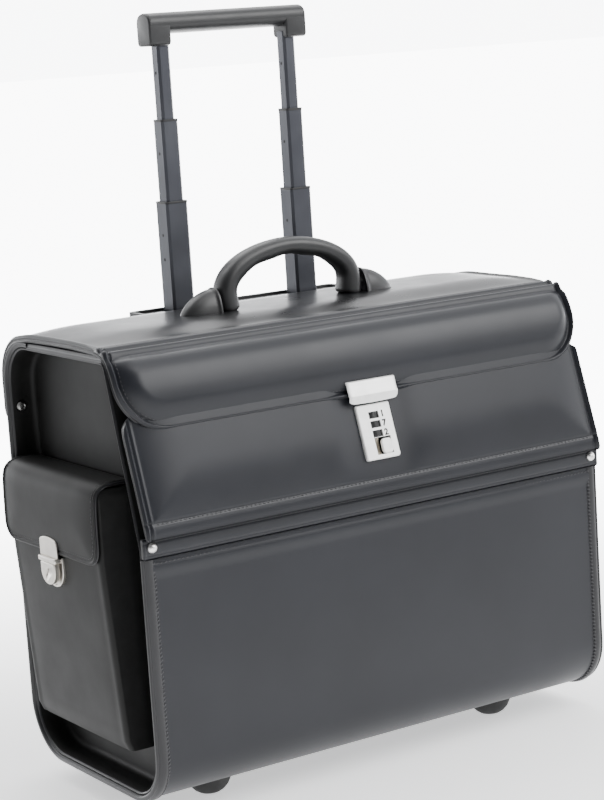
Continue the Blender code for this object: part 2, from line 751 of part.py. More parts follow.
def make_lock(panel_hinge):
    face = -GAP - LOCK_THICK
    half_w, half_h = LOCK_WIDTH / 2, LOCK_HEIGHT / 2
    outline = rounded_rectangle(-half_w, half_w, -half_h, half_h, 0.0025, 0.0015, 3)
    lock = prism("lock_plate", outline, face, -GAP, "Y")
    bevel(lock, 0.0008, 1, 60)
    tilt(lock, 0, 0, LOCK_CENTRE_Z)
    body = lock_box("join_lock_body", (-0.0132, -GAP - 0.001, -0.0221),
                    (0.0132, LOCK_DEEP, 0.0212))
    boolean(lock, body, "UNION")
    cavity = lock_box("cut_lock_cavity", (-0.0112, face + 0.0018, -0.0208),
                      (0.0112, LOCK_DEEP + 0.01, 0.0192))
    boolean(lock, cavity)

    axis_y = face + DIAL_R - 0.0008
    shaft_low, shaft_high = -0.0030, 0.0202
    first = 0.0142
    shaft = cylinder("dial_shaft", 0.0010, shaft_high - shaft_low - 0.0006,
                     (0, 0, 0), "Z", 12)
    shift = Vector((0, axis_y, (shaft_low + shaft_high) / 2))
    shaft.data.transform(Matrix.Translation(shift))
    tilt(shaft, -0.001, 0, LOCK_CENTRE_Z)
    seat = cylinder("cut_shaft", 0.0013, shaft_high - 0.0150, (0, 0, 0), "Z", 12,
                    CUTTERS)
    shift = Vector((0, axis_y, (shaft_high + 0.0150) / 2))
    seat.data.transform(Matrix.Translation(shift))
    tilt(seat, -0.001, 0, LOCK_CENTRE_Z)
    boolean(lock, seat)
    finish(shaft, "steel")

    for number in range(3):
        up = first - number * DIAL_PITCH
        slot = lock_box("cut_dial_%d" % (number + 1),
                        (-0.0062, face - 0.01, up - DIAL_WIDTH / 2 - 0.0004),
                        (0.0042, face + 0.004, up + DIAL_WIDTH / 2 + 0.0004))
        boolean(lock, slot)
        dial = dial_wheel("dial_%d" % (number + 1))
        tilt(dial, -0.001, 0, LOCK_CENTRE_Z)
        along = Vector((0, math.sin(SLOPE), math.cos(SLOPE)))
        inward = Vector((0, math.cos(SLOPE), -math.sin(SLOPE)))
        dial.location += along * up + inward * axis_y
        finish(dial, "nickel")
        carry(panel_hinge, dial)

    window = lock_box("cut_button", (-0.0060, face - 0.01, -0.0205),
                      (0.0110, face + 0.004, -0.0055))
    boolean(lock, window)
    button = lock_box("lock_button", (-0.0001, face - 0.0009, -0.0202),
                      (0.0107, face + 0.0050, -0.0058), PARTS)
    bevel(button, 0.0007, 1)
    finish(button, "nickel")
    finish(lock, "nickel")
    carry(panel_hinge, lock, shaft, button)


def dial_wheel(name):
    """A finger wheel with ten shallow flats and a bore for its shaft."""
    half = DIAL_WIDTH / 2
    wheel = cylinder(name, DIAL_R, DIAL_WIDTH, (0, 0, 0), "Z", 20)
    bore = cylinder("cut_bore_" + name, 0.0013, 4 * half, (0, 0, 0), "Z", 12, CUTTERS)
    bore.parent = wheel
    boolean(wheel, bore)
    return wheel


# ------------------------------------------------------------------ pockets

def make_pocket(side, sign):
    low_y, high_y = place(POCKET_Y[0]), place(POCKET_Y[1])
    back = sign * POCKET_BACK_X
    outline = [(back, POCKET_HIGH_Z), (back, POCKET_LOW_Z),
               (sign * (POCKET_LOW_X - 0.003), POCKET_LOW_Z),
               (sign * POCKET_LOW_X, POCKET_LOW_Z + 0.003),
               (sign * POCKET_TOP_X, 0.2200), (sign * POCKET_TOP_X, POCKET_HIGH_Z)]
    body = prism("pocket_body_" + side, outline, low_y, high_y, "Y")
    wall = POCKET_WALL
    hollow = [(back + sign * wall * 0.7, 0.32), (back + sign * wall * 0.7, POCKET_LOW_Z + wall),
              (sign * (POCKET_LOW_X - wall), POCKET_LOW_Z + wall),
              (sign * (POCKET_TOP_X - wall), 0.2200), (sign * (POCKET_TOP_X - wall), 0.32)]
    bevel(body, 0.0030, 2, 60)
    inside = prism("cut_pocket_" + side, hollow, low_y + wall, high_y - wall, "Y",
                   CUTTERS)
    boolean(body, inside)
    finish(body, "leather")

    hinge_x = sign * (POCKET_BACK_X + 0.0025)
    hinge = joint_empty("pocket_hinge_" + side,
                        (hinge_x, (low_y + high_y) / 2, FLAP_HINGE_Z))
    face_x = POCKET_TOP_X + 0.0008
    chain = [(sign * (POCKET_BACK_X + 0.0030), POCKET_HIGH_Z + 0.0034),
             (sign * (face_x - 0.010), POCKET_HIGH_Z + 0.0028),
             (sign * (face_x - 0.003), POCKET_HIGH_Z + 0.0012),
             (sign * face_x, POCKET_HIGH_Z - 0.0030),
             (sign * (face_x + 0.0012), FLAP_LOW_Z)]
    flap = flap_sheet("pocket_flap_" + side, chain, low_y - 0.0015, high_y + 0.0015,
                      sign)
    finish(flap, "leather")

    lock_y = (low_y + high_y) / 2
    flap_face = face_x + 0.0012 + FLAP_THICK
    tongue_ends = sorted((sign * (flap_face + GAP), sign * (flap_face + 0.0018)))
    tongue = box("flap_tongue_" + side,
                 (tongue_ends[0], lock_y - TONGUE_HALF, TONGUE_Z[0]),
                 (tongue_ends[1], lock_y + TONGUE_HALF, TONGUE_Z[1]))
    bevel(tongue, 0.0007, 1)
    finish(tongue, "nickel")
    carry(hinge, flap, tongue)

    seat_x = POCKET_TOP_X + GAP
    plate_outline = rounded_rectangle(lock_y - 0.0150, lock_y + 0.0150, 0.1880, 0.2143,
                                      0.012, 0.001, 4)
    plate_ends = sorted((sign * seat_x, sign * (flap_face + 0.0010)))
    plate = prism("pocket_lock_" + side, plate_outline, plate_ends[0], plate_ends[1])
    bevel(plate, 0.0009, 1, 60)
    nose_outline = rounded_rectangle(lock_y - 0.0062, lock_y + 0.0062, 0.1930, 0.2125,
                                     0.006, 0.003, 4)
    track_ends = sorted((sign * (flap_face - 0.0020), sign * (flap_face + 0.02)))
    track_outline = rounded_rectangle(lock_y - 0.0066, lock_y + 0.0066, 0.1895, 0.2132,
                                      0.006, 0.001, 4)
    track = prism("cut_track_" + side, track_outline, track_ends[0], track_ends[1],
                  home=CUTTERS)
    boolean(plate, track)
    finish(plate, "nickel")
    nose_ends = sorted((sign * (flap_face - 0.0017), sign * (flap_face + 0.0040)))
    nose = prism("pocket_lock_slider_" + side, nose_outline, nose_ends[0], nose_ends[1])
    bevel(nose, 0.0010, 1, 60)
    finish(nose, "nickel")


def flap_sheet(name, chain, low_y, high_y, sign):
    """The flap: a chain of (X, Z) points extruded along Y, with round low corners."""
    bm = bmesh.new()
    verts = [bm.verts.new((x, low_y, z)) for x, z in chain]
    edges = [bm.edges.new(pair) for pair in zip(verts, verts[1:])]
    made = bmesh.ops.extrude_edge_only(bm, edges=edges)
    moved = [v for v in made["geom"] if isinstance(v, bmesh.types.BMVert)]
    bmesh.ops.translate(bm, vec=(0, high_y - low_y, 0), verts=moved)
    bm.faces.ensure_lookup_table()
    bmesh.ops.recalc_face_normals(bm, faces=bm.faces)
    outer = min(bm.faces, key=lambda f: f.calc_center_median().z)
    if outer.normal.x * sign < 0:
        bmesh.ops.reverse_faces(bm, faces=bm.faces)
    flap = from_bmesh(name, bm)
    solidify(flap, FLAP_THICK, 1.0)
    keep = prism("keep_" + name,
                 rounded_rectangle(low_y, high_y, FLAP_LOW_Z, 0.35, FLAP_CORNER, 0, 5),
                 -0.3, 0.3, "X", CUTTERS)
    boolean(flap, keep, "INTERSECT")
    return flap


# --------------------------------------------------------- wheels and feet

def make_wheels():
    for side, sign in LEFT_RIGHT:
        x = sign * WHEEL_X
        ends = (x - HOUSING_HALF, x + HOUSING_HALF)
        housing = prism("wheel_housing_" + side, housing_outline(), ends[0], ends[1])
        well = cylinder("cut_well_" + side, WHEEL_R + 0.0025, WHEEL_WIDTH + 0.0024,
                        (x, place(WHEEL_Y), WHEEL_R), "X", 28, CUTTERS)
        mouth = box("cut_mouth_" + side,
                    (x - WHEEL_WIDTH / 2 - 0.0012, place(WHEEL_Y) - 0.0275, -0.02),
                    (x + WHEEL_WIDTH / 2 + 0.0012, place(WHEEL_Y) + 0.05, WHEEL_R),
                    CUTTERS)
        boolean(housing, well)
        boolean(housing, mouth)
        bore = cylinder("cut_axle_" + side, AXLE_R + GAP, 0.05,
                        (x, place(WHEEL_Y), WHEEL_R), "X", 16, CUTTERS)
        boolean(housing, bore)
        finish(housing, "plastic")

        half = WHEEL_WIDTH / 2
        profile = [(AXLE_R + GAP, half), (0.0075, half), (0.0090, half - 0.0020),
                   (0.0165, half - 0.0020), (0.0180, half), (WHEEL_R - 0.0030, half),
                   (WHEEL_R - 0.0006, half - 0.0030), (WHEEL_R, half - 0.0070),
                   (WHEEL_R, -half + 0.0070), (WHEEL_R - 0.0006, -half + 0.0030),
                   (WHEEL_R - 0.0030, -half), (0.0180, -half), (0.0165, -half + 0.0020),
                   (0.0090, -half + 0.0020), (0.0075, -half), (AXLE_R + GAP, -half),
                   (AXLE_R + GAP, half)]
        wheel = turned("wheel_" + side, profile, (x, place(WHEEL_Y), WHEEL_R), "X", 28)
        finish(wheel, "rubber")
        axle = cylinder("axle_" + side, AXLE_R, 0.0328, (x, place(WHEEL_Y), WHEEL_R),
                        "X", 16)
        finish(axle, "steel")

        top = BOTTOM_Z - GAP
        foot_profile = [(0, top), (FOOT_R, top), (FOOT_R, top - 0.004)]
        for i in range(1, 7):
            angle = math.radians(15 * i)
            foot_profile.append((0.007 + (FOOT_R - 0.007) * math.cos(angle),
                                 (top - 0.004) * (1 - math.sin(angle))))
        foot_profile.append((0, 0))
        foot = turned("foot_front_" + side, foot_profile, (sign * FOOT_X, place(FOOT_Y), 0),
                      "Z", 24)
        finish(foot, "rubber")


make_shell()
make_rear_top()
make_strip()
make_rear_rivets()
make_interior()
make_trolley()
make_handle(make_lid())
make_front_panel()
for pocket_side, pocket_sign in LEFT_RIGHT:
    make_pocket(pocket_side, pocket_sign)
make_wheels()
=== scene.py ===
"""Looks of the pilot rolling flight case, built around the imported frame."""
import json
import math

import bmesh
import bpy
from mathutils import Matrix, Vector


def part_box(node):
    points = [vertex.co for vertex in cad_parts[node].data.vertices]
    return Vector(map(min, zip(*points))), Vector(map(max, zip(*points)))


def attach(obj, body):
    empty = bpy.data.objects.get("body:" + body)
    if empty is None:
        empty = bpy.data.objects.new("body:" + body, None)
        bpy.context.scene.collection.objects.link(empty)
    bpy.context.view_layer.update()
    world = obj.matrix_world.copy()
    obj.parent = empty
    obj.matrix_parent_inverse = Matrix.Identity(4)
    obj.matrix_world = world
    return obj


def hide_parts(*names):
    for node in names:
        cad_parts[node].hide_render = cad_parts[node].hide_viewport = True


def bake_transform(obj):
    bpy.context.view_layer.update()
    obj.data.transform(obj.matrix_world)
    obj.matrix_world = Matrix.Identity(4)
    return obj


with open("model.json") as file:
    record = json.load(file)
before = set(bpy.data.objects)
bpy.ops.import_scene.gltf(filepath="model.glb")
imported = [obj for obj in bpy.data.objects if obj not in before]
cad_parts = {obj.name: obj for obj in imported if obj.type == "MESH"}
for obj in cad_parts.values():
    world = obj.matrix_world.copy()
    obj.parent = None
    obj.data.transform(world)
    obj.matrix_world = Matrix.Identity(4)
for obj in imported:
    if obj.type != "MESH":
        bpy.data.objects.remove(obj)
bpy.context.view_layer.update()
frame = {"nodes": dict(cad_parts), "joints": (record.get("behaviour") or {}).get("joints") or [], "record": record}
NODES = frame["nodes"]

# ------------------------------------------------------- sizes from the frame
WRAP_LOW, WRAP_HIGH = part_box("body_wrap")
FRONT = WRAP_LOW.y                      # lower front face; Y() counts from it
BACK = WRAP_HIGH.y
BOTTOM = WRAP_LOW.z
TOP = WRAP_HIGH.z
RIM_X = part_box("rim_piping_right")[1].x
STRIP_LOW, STRIP_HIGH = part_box("hinge_strip")
PANEL_LOW, PANEL_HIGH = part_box("front_upper_panel")
LID_LOW, LID_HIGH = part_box("lid_panel")
APRON_LOW, APRON_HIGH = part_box("lid_apron")
REAR_LOW, REAR_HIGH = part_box("rear_top_wrap")
BEZEL_LOW, BEZEL_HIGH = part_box("trolley_bezel")
GRIP_LOW, GRIP_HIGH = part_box("trolley_grip")
JOINTS = {joint["name"]: joint for joint in frame["joints"]}
LID_AXIS = Vector(JOINTS["lid_hinge"]["pos_m"])

# ------------------------------------------- sizes of the leather work, metres
FRONT_CORNER = 0.045
REAR_CORNER = 0.050
TOP_CORNER = 0.040
WALL = 0.004
SLOPE = math.atan(0.32)                 # lean of the upper front panel
STITCH_PITCH = 0.0036
STITCH_LENGTH = 0.0025
STITCH_R = 0.00028
SIDES = (("left", -1), ("right", 1))


def Y(depth):
    """Distance back from the lower front face, in the frame."""
    return FRONT + depth


# ------------------------------------------------------------------ materials

class Look:
    """A node material with a few helpers to keep its making short."""

    def __init__(self, name):
        self.mat = bpy.data.materials.new(name)
        self.mat.use_nodes = True
        self.tree = self.mat.node_tree
        self.shader = self.tree.nodes["Principled BSDF"]
        self.coord = self.tree.nodes.new("ShaderNodeTexCoord").outputs["Object"]

    def set(self, **values):
        for key, value in values.items():
            self.shader.inputs[key.replace("_", " ")].default_value = value
        return self

    def link(self, output, target):
        self.tree.links.new(output, target)

    def noise(self, scale, detail=3.0, rough=0.55, stretch=None):
        node = self.tree.nodes.new("ShaderNodeTexNoise")
        node.inputs["Scale"].default_value = scale
        node.inputs["Detail"].default_value = detail
        node.inputs["Roughness"].default_value = rough
        self.link(self.stretched(stretch), node.inputs["Vector"])
        return node.outputs["Fac"]

    def stretched(self, stretch):
        if not stretch:
            return self.coord
        node = self.tree.nodes.new("ShaderNodeMapping")
        node.inputs["Scale"].default_value = stretch
        self.link(self.coord, node.inputs["Vector"])
        return node.outputs["Vector"]

    def cells(self, scale, feature="DISTANCE_TO_EDGE"):
        node = self.tree.nodes.new("ShaderNodeTexVoronoi")
        node.feature = feature
        node.inputs["Scale"].default_value = scale
        self.link(self.coord, node.inputs["Vector"])
        return node.outputs["Distance"]

    def ramp(self, fac, low, high, low_at=0.0, high_at=1.0):
        """Maps fac to a number from low to high."""
        node = self.tree.nodes.new("ShaderNodeMapRange")
        node.inputs["From Min"].default_value = low_at
        node.inputs["From Max"].default_value = high_at
        node.inputs["To Min"].default_value = low
        node.inputs["To Max"].default_value = high
        self.link(fac, node.inputs["Value"])
        return node.outputs["Result"]

    def colours(self, fac, first, second, low_at=0.35, high_at=0.65):
        node = self.tree.nodes.new("ShaderNodeValToRGB")
        node.color_ramp.elements[0].position = low_at
        node.color_ramp.elements[0].color = (*first, 1)
        node.color_ramp.elements[1].position = high_at
        node.color_ramp.elements[1].color = (*second, 1)
        self.link(fac, node.inputs["Fac"])
        self.link(node.outputs["Color"], self.shader.inputs["Base Color"])
        return self

    def roughness(self, fac, low, high):
        self.link(self.ramp(fac, low, high, 0.3, 0.7), self.shader.inputs["Roughness"])
        return self

    def bumps(self, *layers):
        """Each layer is (height output, strength, distance in metres)."""
        normal = None
        for height, strength, distance in layers:
            node = self.tree.nodes.new("ShaderNodeBump")
            node.inputs["Strength"].default_value = strength
            node.inputs["Distance"].default_value = distance
            self.link(height, node.inputs["Height"])
            if normal:
                self.link(normal, node.inputs["Normal"])
            normal = node.outputs["Normal"]
        self.link(normal, self.shader.inputs["Normal"])
        return self


def leather(name, dark, light, low, high, grain=0.16, gloss=0.42):
    """Smooth corrected-grain leather: fine pebble, faint pull marks, soft gloss."""
    look = Look(name)
    cloud = look.noise(9, 4)
    look.colours(cloud, dark, light)
    look.roughness(look.noise(26, 5), low, high)
    look.bumps((look.cells(1500), grain, 0.00010), (look.noise(2600, 2), grain, 0.00005),
               (look.noise(30, 3), 0.06, 0.0005))
    look.set(Specular_IOR_Level=gloss)
    return look.mat


def thread():
    look = Look("thread")
    look.colours(look.noise(900, 2), (0.024, 0.024, 0.026), (0.046, 0.046, 0.050))
    look.bumps((look.noise(4000, 1, stretch=(1, 1, 0.3)), 0.5, 0.0001))
    look.set(Roughness=0.55)
    return look.mat


def lining():
    look = Look("lining_weave")
    wave_a = weave_wave(look, "X")
    wave_b = weave_wave(look, "Z")
    look.colours(look.noise(300, 3), (0.030, 0.031, 0.036), (0.055, 0.056, 0.062))
    look.bumps((wave_a, 0.5, 0.0002), (wave_b, 0.5, 0.0002))
    look.set(Roughness=0.88, Sheen_Weight=0.15)
    return look.mat


def weave_wave(look, direction):
    node = look.tree.nodes.new("ShaderNodeTexWave")
    node.bands_direction = direction
    node.inputs["Scale"].default_value = 380
    node.inputs["Distortion"].default_value = 0.4
    look.link(look.coord, node.inputs["Vector"])
    return node.outputs["Fac"]


def plastic(name, dark, light, low, high, grain=0.25, scale=1800):
    look = Look(name)
    look.colours(look.noise(40, 3), dark, light)
    look.roughness(look.noise(70, 4), low, high)
    look.bumps((look.noise(scale, 2), grain, 0.00008), (look.noise(90, 2), 0.05, 0.0004))
    return look.mat


def anodised():
    look = Look("anodised_black")
    look.colours(look.noise(12, 3), (0.056, 0.058, 0.068), (0.074, 0.077, 0.088))
    look.roughness(look.noise(60, 4, stretch=(1, 1, 0.05)), 0.30, 0.42)
    look.bumps((look.noise(1500, 2, stretch=(1, 1, 0.02)), 0.12, 0.00005))
    look.set(Metallic=0.75)
    return look.mat


def nickel(name, low=0.24, high=0.34, tint=(0.78, 0.77, 0.74), metallic=1.0):
    look = Look(name)
    dull = tuple(channel * 0.86 for channel in tint)
    look.colours(look.noise(60, 4), dull, tint)
    look.roughness(look.noise(400, 3, stretch=(0.1, 1, 1)), low, high)
    look.bumps((look.noise(2500, 2, stretch=(0.06, 1, 1)), 0.10, 0.00004))
    look.set(Metallic=metallic)
    return look.mat


def rubber():
    look = Look("rubber")
    look.colours(look.noise(30, 4), (0.012, 0.012, 0.012), (0.026, 0.026, 0.026))
    look.roughness(look.noise(90, 4), 0.6, 0.8)
    look.bumps((look.noise(1200, 3), 0.35, 0.0002))
    return look.mat


LEATHER = leather("leather_black", (0.0082, 0.0090, 0.0122), (0.0108, 0.0118, 0.0158), 0.34,
                  0.40, gloss=0.37)
TOP_LEATHER = leather("leather_lid", (0.006, 0.0062, 0.007), (0.008, 0.0083, 0.0092), 0.26,
                      0.34, 0.12)
EDGE = leather("leather_edging", (0.012, 0.012, 0.0135), (0.016, 0.016, 0.018), 0.30, 0.38,
               0.12)
# Painted shade: a darker, duller copy of the body leather, standing in for the shade that lies in the end
# recesses; used for the recesses, pockets and flaps.
SHADED_END_LEATHER = leather("leather_end_painted_shade", (0.0042, 0.0042, 0.0040), (0.0056, 0.0056, 0.0052), 0.50, 0.58,
              0.16, 0.28)
# Near-black, rough gusset cloth: partly a dark gusset, partly painted shade for the shadow that lies on the
# pockets' front and back sides.
GUSSET_CLOTH_AND_SHADE = plastic("gusset_cloth_painted_shade", (0.0030, 0.0031, 0.0031), (0.0042, 0.0043, 0.0043), 0.85, 0.95)
THREAD = thread()
LINING = lining()
PLASTIC = plastic("plastic_satin", (0.012, 0.0123, 0.0130), (0.016, 0.0163, 0.017), 0.34, 0.42)
BEZEL_LOOK = plastic("plastic_bezel", (0.010, 0.010, 0.011), (0.014, 0.014, 0.015), 0.40,
                     0.5)
ANODISED = anodised()
NICKEL = nickel("nickel_satin", 0.30, 0.38, (0.90, 0.89, 0.87))
# Painted shade: a darkened copy of the satin nickel for the rear rivets, which sit in the shade of the end
# recesses.
SHADED_NICKEL = nickel("nickel_painted_shade", 0.34, 0.44, (0.32, 0.32, 0.31))
DIAL = nickel("nickel_dark", 0.40, 0.50, (0.10, 0.10, 0.10))
WARM = nickel("nickel_lock", 0.28, 0.36, (0.70, 0.67, 0.62))
BRASSY = nickel("nickel_warm", 0.34, 0.44, (0.62, 0.56, 0.47))
PALE = nickel("nickel_pale", 0.40, 0.48, (0.98, 0.975, 0.96), 0.45)
BRIGHT = nickel("nickel_bright", 0.14, 0.22, (0.82, 0.81, 0.78))
RUBBER = rubber()
STEEL = nickel("steel_bare", 0.30, 0.42, (0.55, 0.55, 0.56))
# Near-black: the figures' own dark colour beside the dials, and painted shade in the flat discs that stand for the
# tubes' detent holes.
HOLE_SHADE_AND_FIGURES = plastic("painted_hole_shade_and_figures", (0.006, 0.006, 0.006), (0.010, 0.010, 0.010), 0.7, 0.8)


# ---------------------------------------------------------------- mesh helpers

def add(name, bm, *mats, smooth=True, angle=40):
    mesh = bpy.data.meshes.new(name)
    bm.to_mesh(mesh)
    bm.free()
    obj = bpy.data.objects.new(name, mesh)
    bpy.context.scene.collection.objects.link(obj)
    for mat in mats:
        mesh.materials.append(mat)
    if smooth:
        mesh.shade_smooth()
        mesh.set_sharp_from_angle(angle=math.radians(angle))
    return obj


def apply(obj):
    """Replaces the object's mesh by its evaluated one and clears the modifiers."""
    bpy.context.view_layer.update()
    graph = bpy.context.evaluated_depsgraph_get()
    mesh = bpy.data.meshes.new_from_object(obj.evaluated_get(graph))
    obj.modifiers.clear()
    obj.data = mesh
    return obj


def settle(obj, body, slot, *nodes):
    """The piece rides on its body and stands for its CAD nodes; slot is not used."""
    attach(obj, body)
    if nodes:
        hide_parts(*nodes)
    return obj


def bevelled(obj, width, segments=3, angle=30):
    mod = obj.modifiers.new("edges", "BEVEL")
    mod.width = width
    mod.segments = segments
    mod.limit_method = "ANGLE"
    mod.angle_limit = math.radians(angle)
    mod.harden_normals = False
    return apply(obj)


def cut(obj, *others, operation="DIFFERENCE"):
    for other in others:
        mod = obj.modifiers.new("cut", "BOOLEAN")
        mod.operation = operation
        mod.object = other
        mod.solver = "EXACT"
    apply(obj)
    for other in others:
        bpy.data.objects.remove(other, do_unlink=True)
    return obj


def block(name, low, high, *mats):
    bm = bmesh.new()
    bmesh.ops.create_cube(bm, size=1.0)
    for vert in bm.verts:
        for i in range(3):
            vert.co[i] = low[i] if vert.co[i] < 0 else high[i]
    return add(name, bm, *mats)


def rod(name, radius, length, centre, axis, *mats, sides=32):
    bm = bmesh.new()
    bmesh.ops.create_cone(bm, cap_ends=True, segments=sides, radius1=radius,
                          radius2=radius, depth=length)
    turn = Vector((0, 0, 1)).rotation_difference(Vector(axis)).to_matrix().to_4x4()
    bmesh.ops.transform(bm, matrix=Matrix.Translation(centre) @ turn, verts=bm.verts)
    return add(name, bm, *mats)


def lathe(name, profile, centre, axis, *mats, steps=48):
    """Turns a closed or axis-to-axis profile of (radius, height) about axis."""
    bm = bmesh.new()
    rings = []
    for radius, height in profile:
        if radius < 1e-7:
            rings.append([bm.verts.new((0, 0, height))])
            continue
        rings.append([bm.verts.new((radius * math.cos(2 * math.pi * k / steps),
                                    radius * math.sin(2 * math.pi * k / steps), height))
                      for k in range(steps)])
    pairs = list(zip(rings, rings[1:]))
    if len(rings[0]) > 1 and len(rings[-1]) > 1:
        pairs.append((rings[-1], rings[0]))
    for one, two in pairs:
        for k in range(steps):
            corners = [one[k % len(one)], one[(k + 1) % len(one)],
                       two[(k + 1) % len(two)], two[k % len(two)]]
            corners = list(dict.fromkeys(corners))
            if len(corners) > 2:
                bm.faces.new(corners)
    turn = Vector((0, 0, 1)).rotation_difference(Vector(axis)).to_matrix().to_4x4()
    bmesh.ops.transform(bm, matrix=Matrix.Translation(centre) @ turn, verts=bm.verts)
    bmesh.ops.recalc_face_normals(bm, faces=bm.faces)
    return add(name, bm, *mats)


def extrude(name, outline, place_at, depth, *mats):
    """A flat outline of (a, b) pairs made solid; place_at(a, b, d) gives its points."""
    bm = bmesh.new()
    front = [bm.verts.new(place_at(a, b, 0)) for a, b in outline]
    back = [bm.verts.new(place_at(a, b, depth)) for a, b in outline]
    bm.faces.new(front)
    bm.faces.new(list(reversed(back)))
    count = len(outline)
    for k in range(count):
        bm.faces.new((front[k], back[k], back[(k + 1) % count], front[(k + 1) % count]))
    bmesh.ops.recalc_face_normals(bm, faces=bm.faces)
    return add(name, bm, *mats)


def arc(cy, cz, radius, start, stop, steps):
    return [(cy + radius * math.cos(math.radians(start + (stop - start) * k / steps)),
             cz + radius * math.sin(math.radians(start + (stop - start) * k / steps)))
            for k in range(steps + 1)]


def rounded(low_a, high_a, low_b, high_b, low_r, high_r=None, steps=8):
    high_r = low_r if high_r is None else high_r
    points = arc(high_a - low_r, low_b + low_r, low_r, -90, 0, steps)
    points += arc(high_a - high_r, high_b - high_r, high_r, 0, 90, steps)
    points += arc(low_a + high_r, high_b - high_r, high_r, 90, 180, steps)
    points += arc(low_a + low_r, low_b + low_r, low_r, 180, 270, steps)
    return points


class Path:
    """A smooth route through (y, z) points, read by length, with its outward normal."""

    def __init__(self, points, closed=False, side=1):
        self.side = side
        self.points = [Vector(point) for point in points]
        if closed:
            self.points.append(self.points[0])
        self.closed = closed
        self.lengths = [0.0]
        for one, two in zip(self.points, self.points[1:]):
            self.lengths.append(self.lengths[-1] + (two - one).length)
        self.length = self.lengths[-1]

    def at(self, s):
        if self.closed:
            s %= self.length
        s = min(max(s, 0.0), self.length)
        k = 0
        low, high = 0, len(self.lengths) - 2
        while low <= high:
            k = (low + high) // 2
            if self.lengths[k + 1] < s:
                low = k + 1
            elif self.lengths[k] > s:
                high = k - 1
            else:
                break
        span = self.lengths[k + 1] - self.lengths[k]
        share = (s - self.lengths[k]) / span if span > 0 else 0
        return self.points[k].lerp(self.points[k + 1], share)

    def frame(self, s, reach=0.0012):
        """Point and unit normal: to the right of the travel, or left if side is -1."""
        if self.closed:
            one, two = self.at(s - reach), self.at(s + reach)
        else:
            one, two = self.at(max(s - reach, 0)), self.at(min(s + reach, self.length))
        along = (two - one).normalized()
        return self.at(s), Vector((along.y, -along.x)) * self.side


def spread(low, high, step, edge=0.0, fine=0.0006):
    """Positions from low to high, fine within edge of both ends."""
    values = []
    here = low
    while here < high - 1e-9:
        values.append(here)
        near = min(here - low, high - here)
        size = fine if near < edge else min(step, fine + (near - edge) * 0.35 + fine)
        here += size
    if len(values) > 1 and high - values[-1] < fine * 0.5:
        values.pop()
    values.append(high)
    return values


def capsule(bm, centre, along, up, length, radius):
    """A short thread stitch lying along a direction, thickest at its middle."""
    along = along.normalized()
    side = along.cross(up).normalized()
    up = side.cross(along).normalized()
    rings = []
    for share, size in ((-0.5, 0.35), (-0.3, 0.9), (0.0, 1.0), (0.3, 0.9), (0.5, 0.35)):
        middle = centre + along * (share * length) - up * (abs(share) * radius * 1.4)
        ring = []
        for k in range(6):
            angle = math.pi * k / 3
            ring.append(bm.verts.new(middle + (side * math.cos(angle)
                                               + up * math.sin(angle)) * radius * size))
        rings.append(ring)
    for one, two in zip(rings, rings[1:]):
        for k in range(6):
            bm.faces.new((one[k], one[(k + 1) % 6], two[(k + 1) % 6], two[k]))
    bm.faces.new(list(reversed(rings[0])))
    bm.faces.new(rings[-1])


# --------------------------------------------------------- sewn leather panels

def bump(d, centre, width, height):
    """A smooth ridge or groove across distance d from the panel's edge."""
    share = abs(d - centre) / width
    return height * 0.5 * (1 + math.cos(math.pi * share)) if share < 1 else 0.0


def swell(d, start, reach, height):
    """Padding that rises from distance start over reach."""
    share = min(max((d - start) / reach, 0.0), 1.0)
    return height * (1 - (1 - share) ** 2.2)


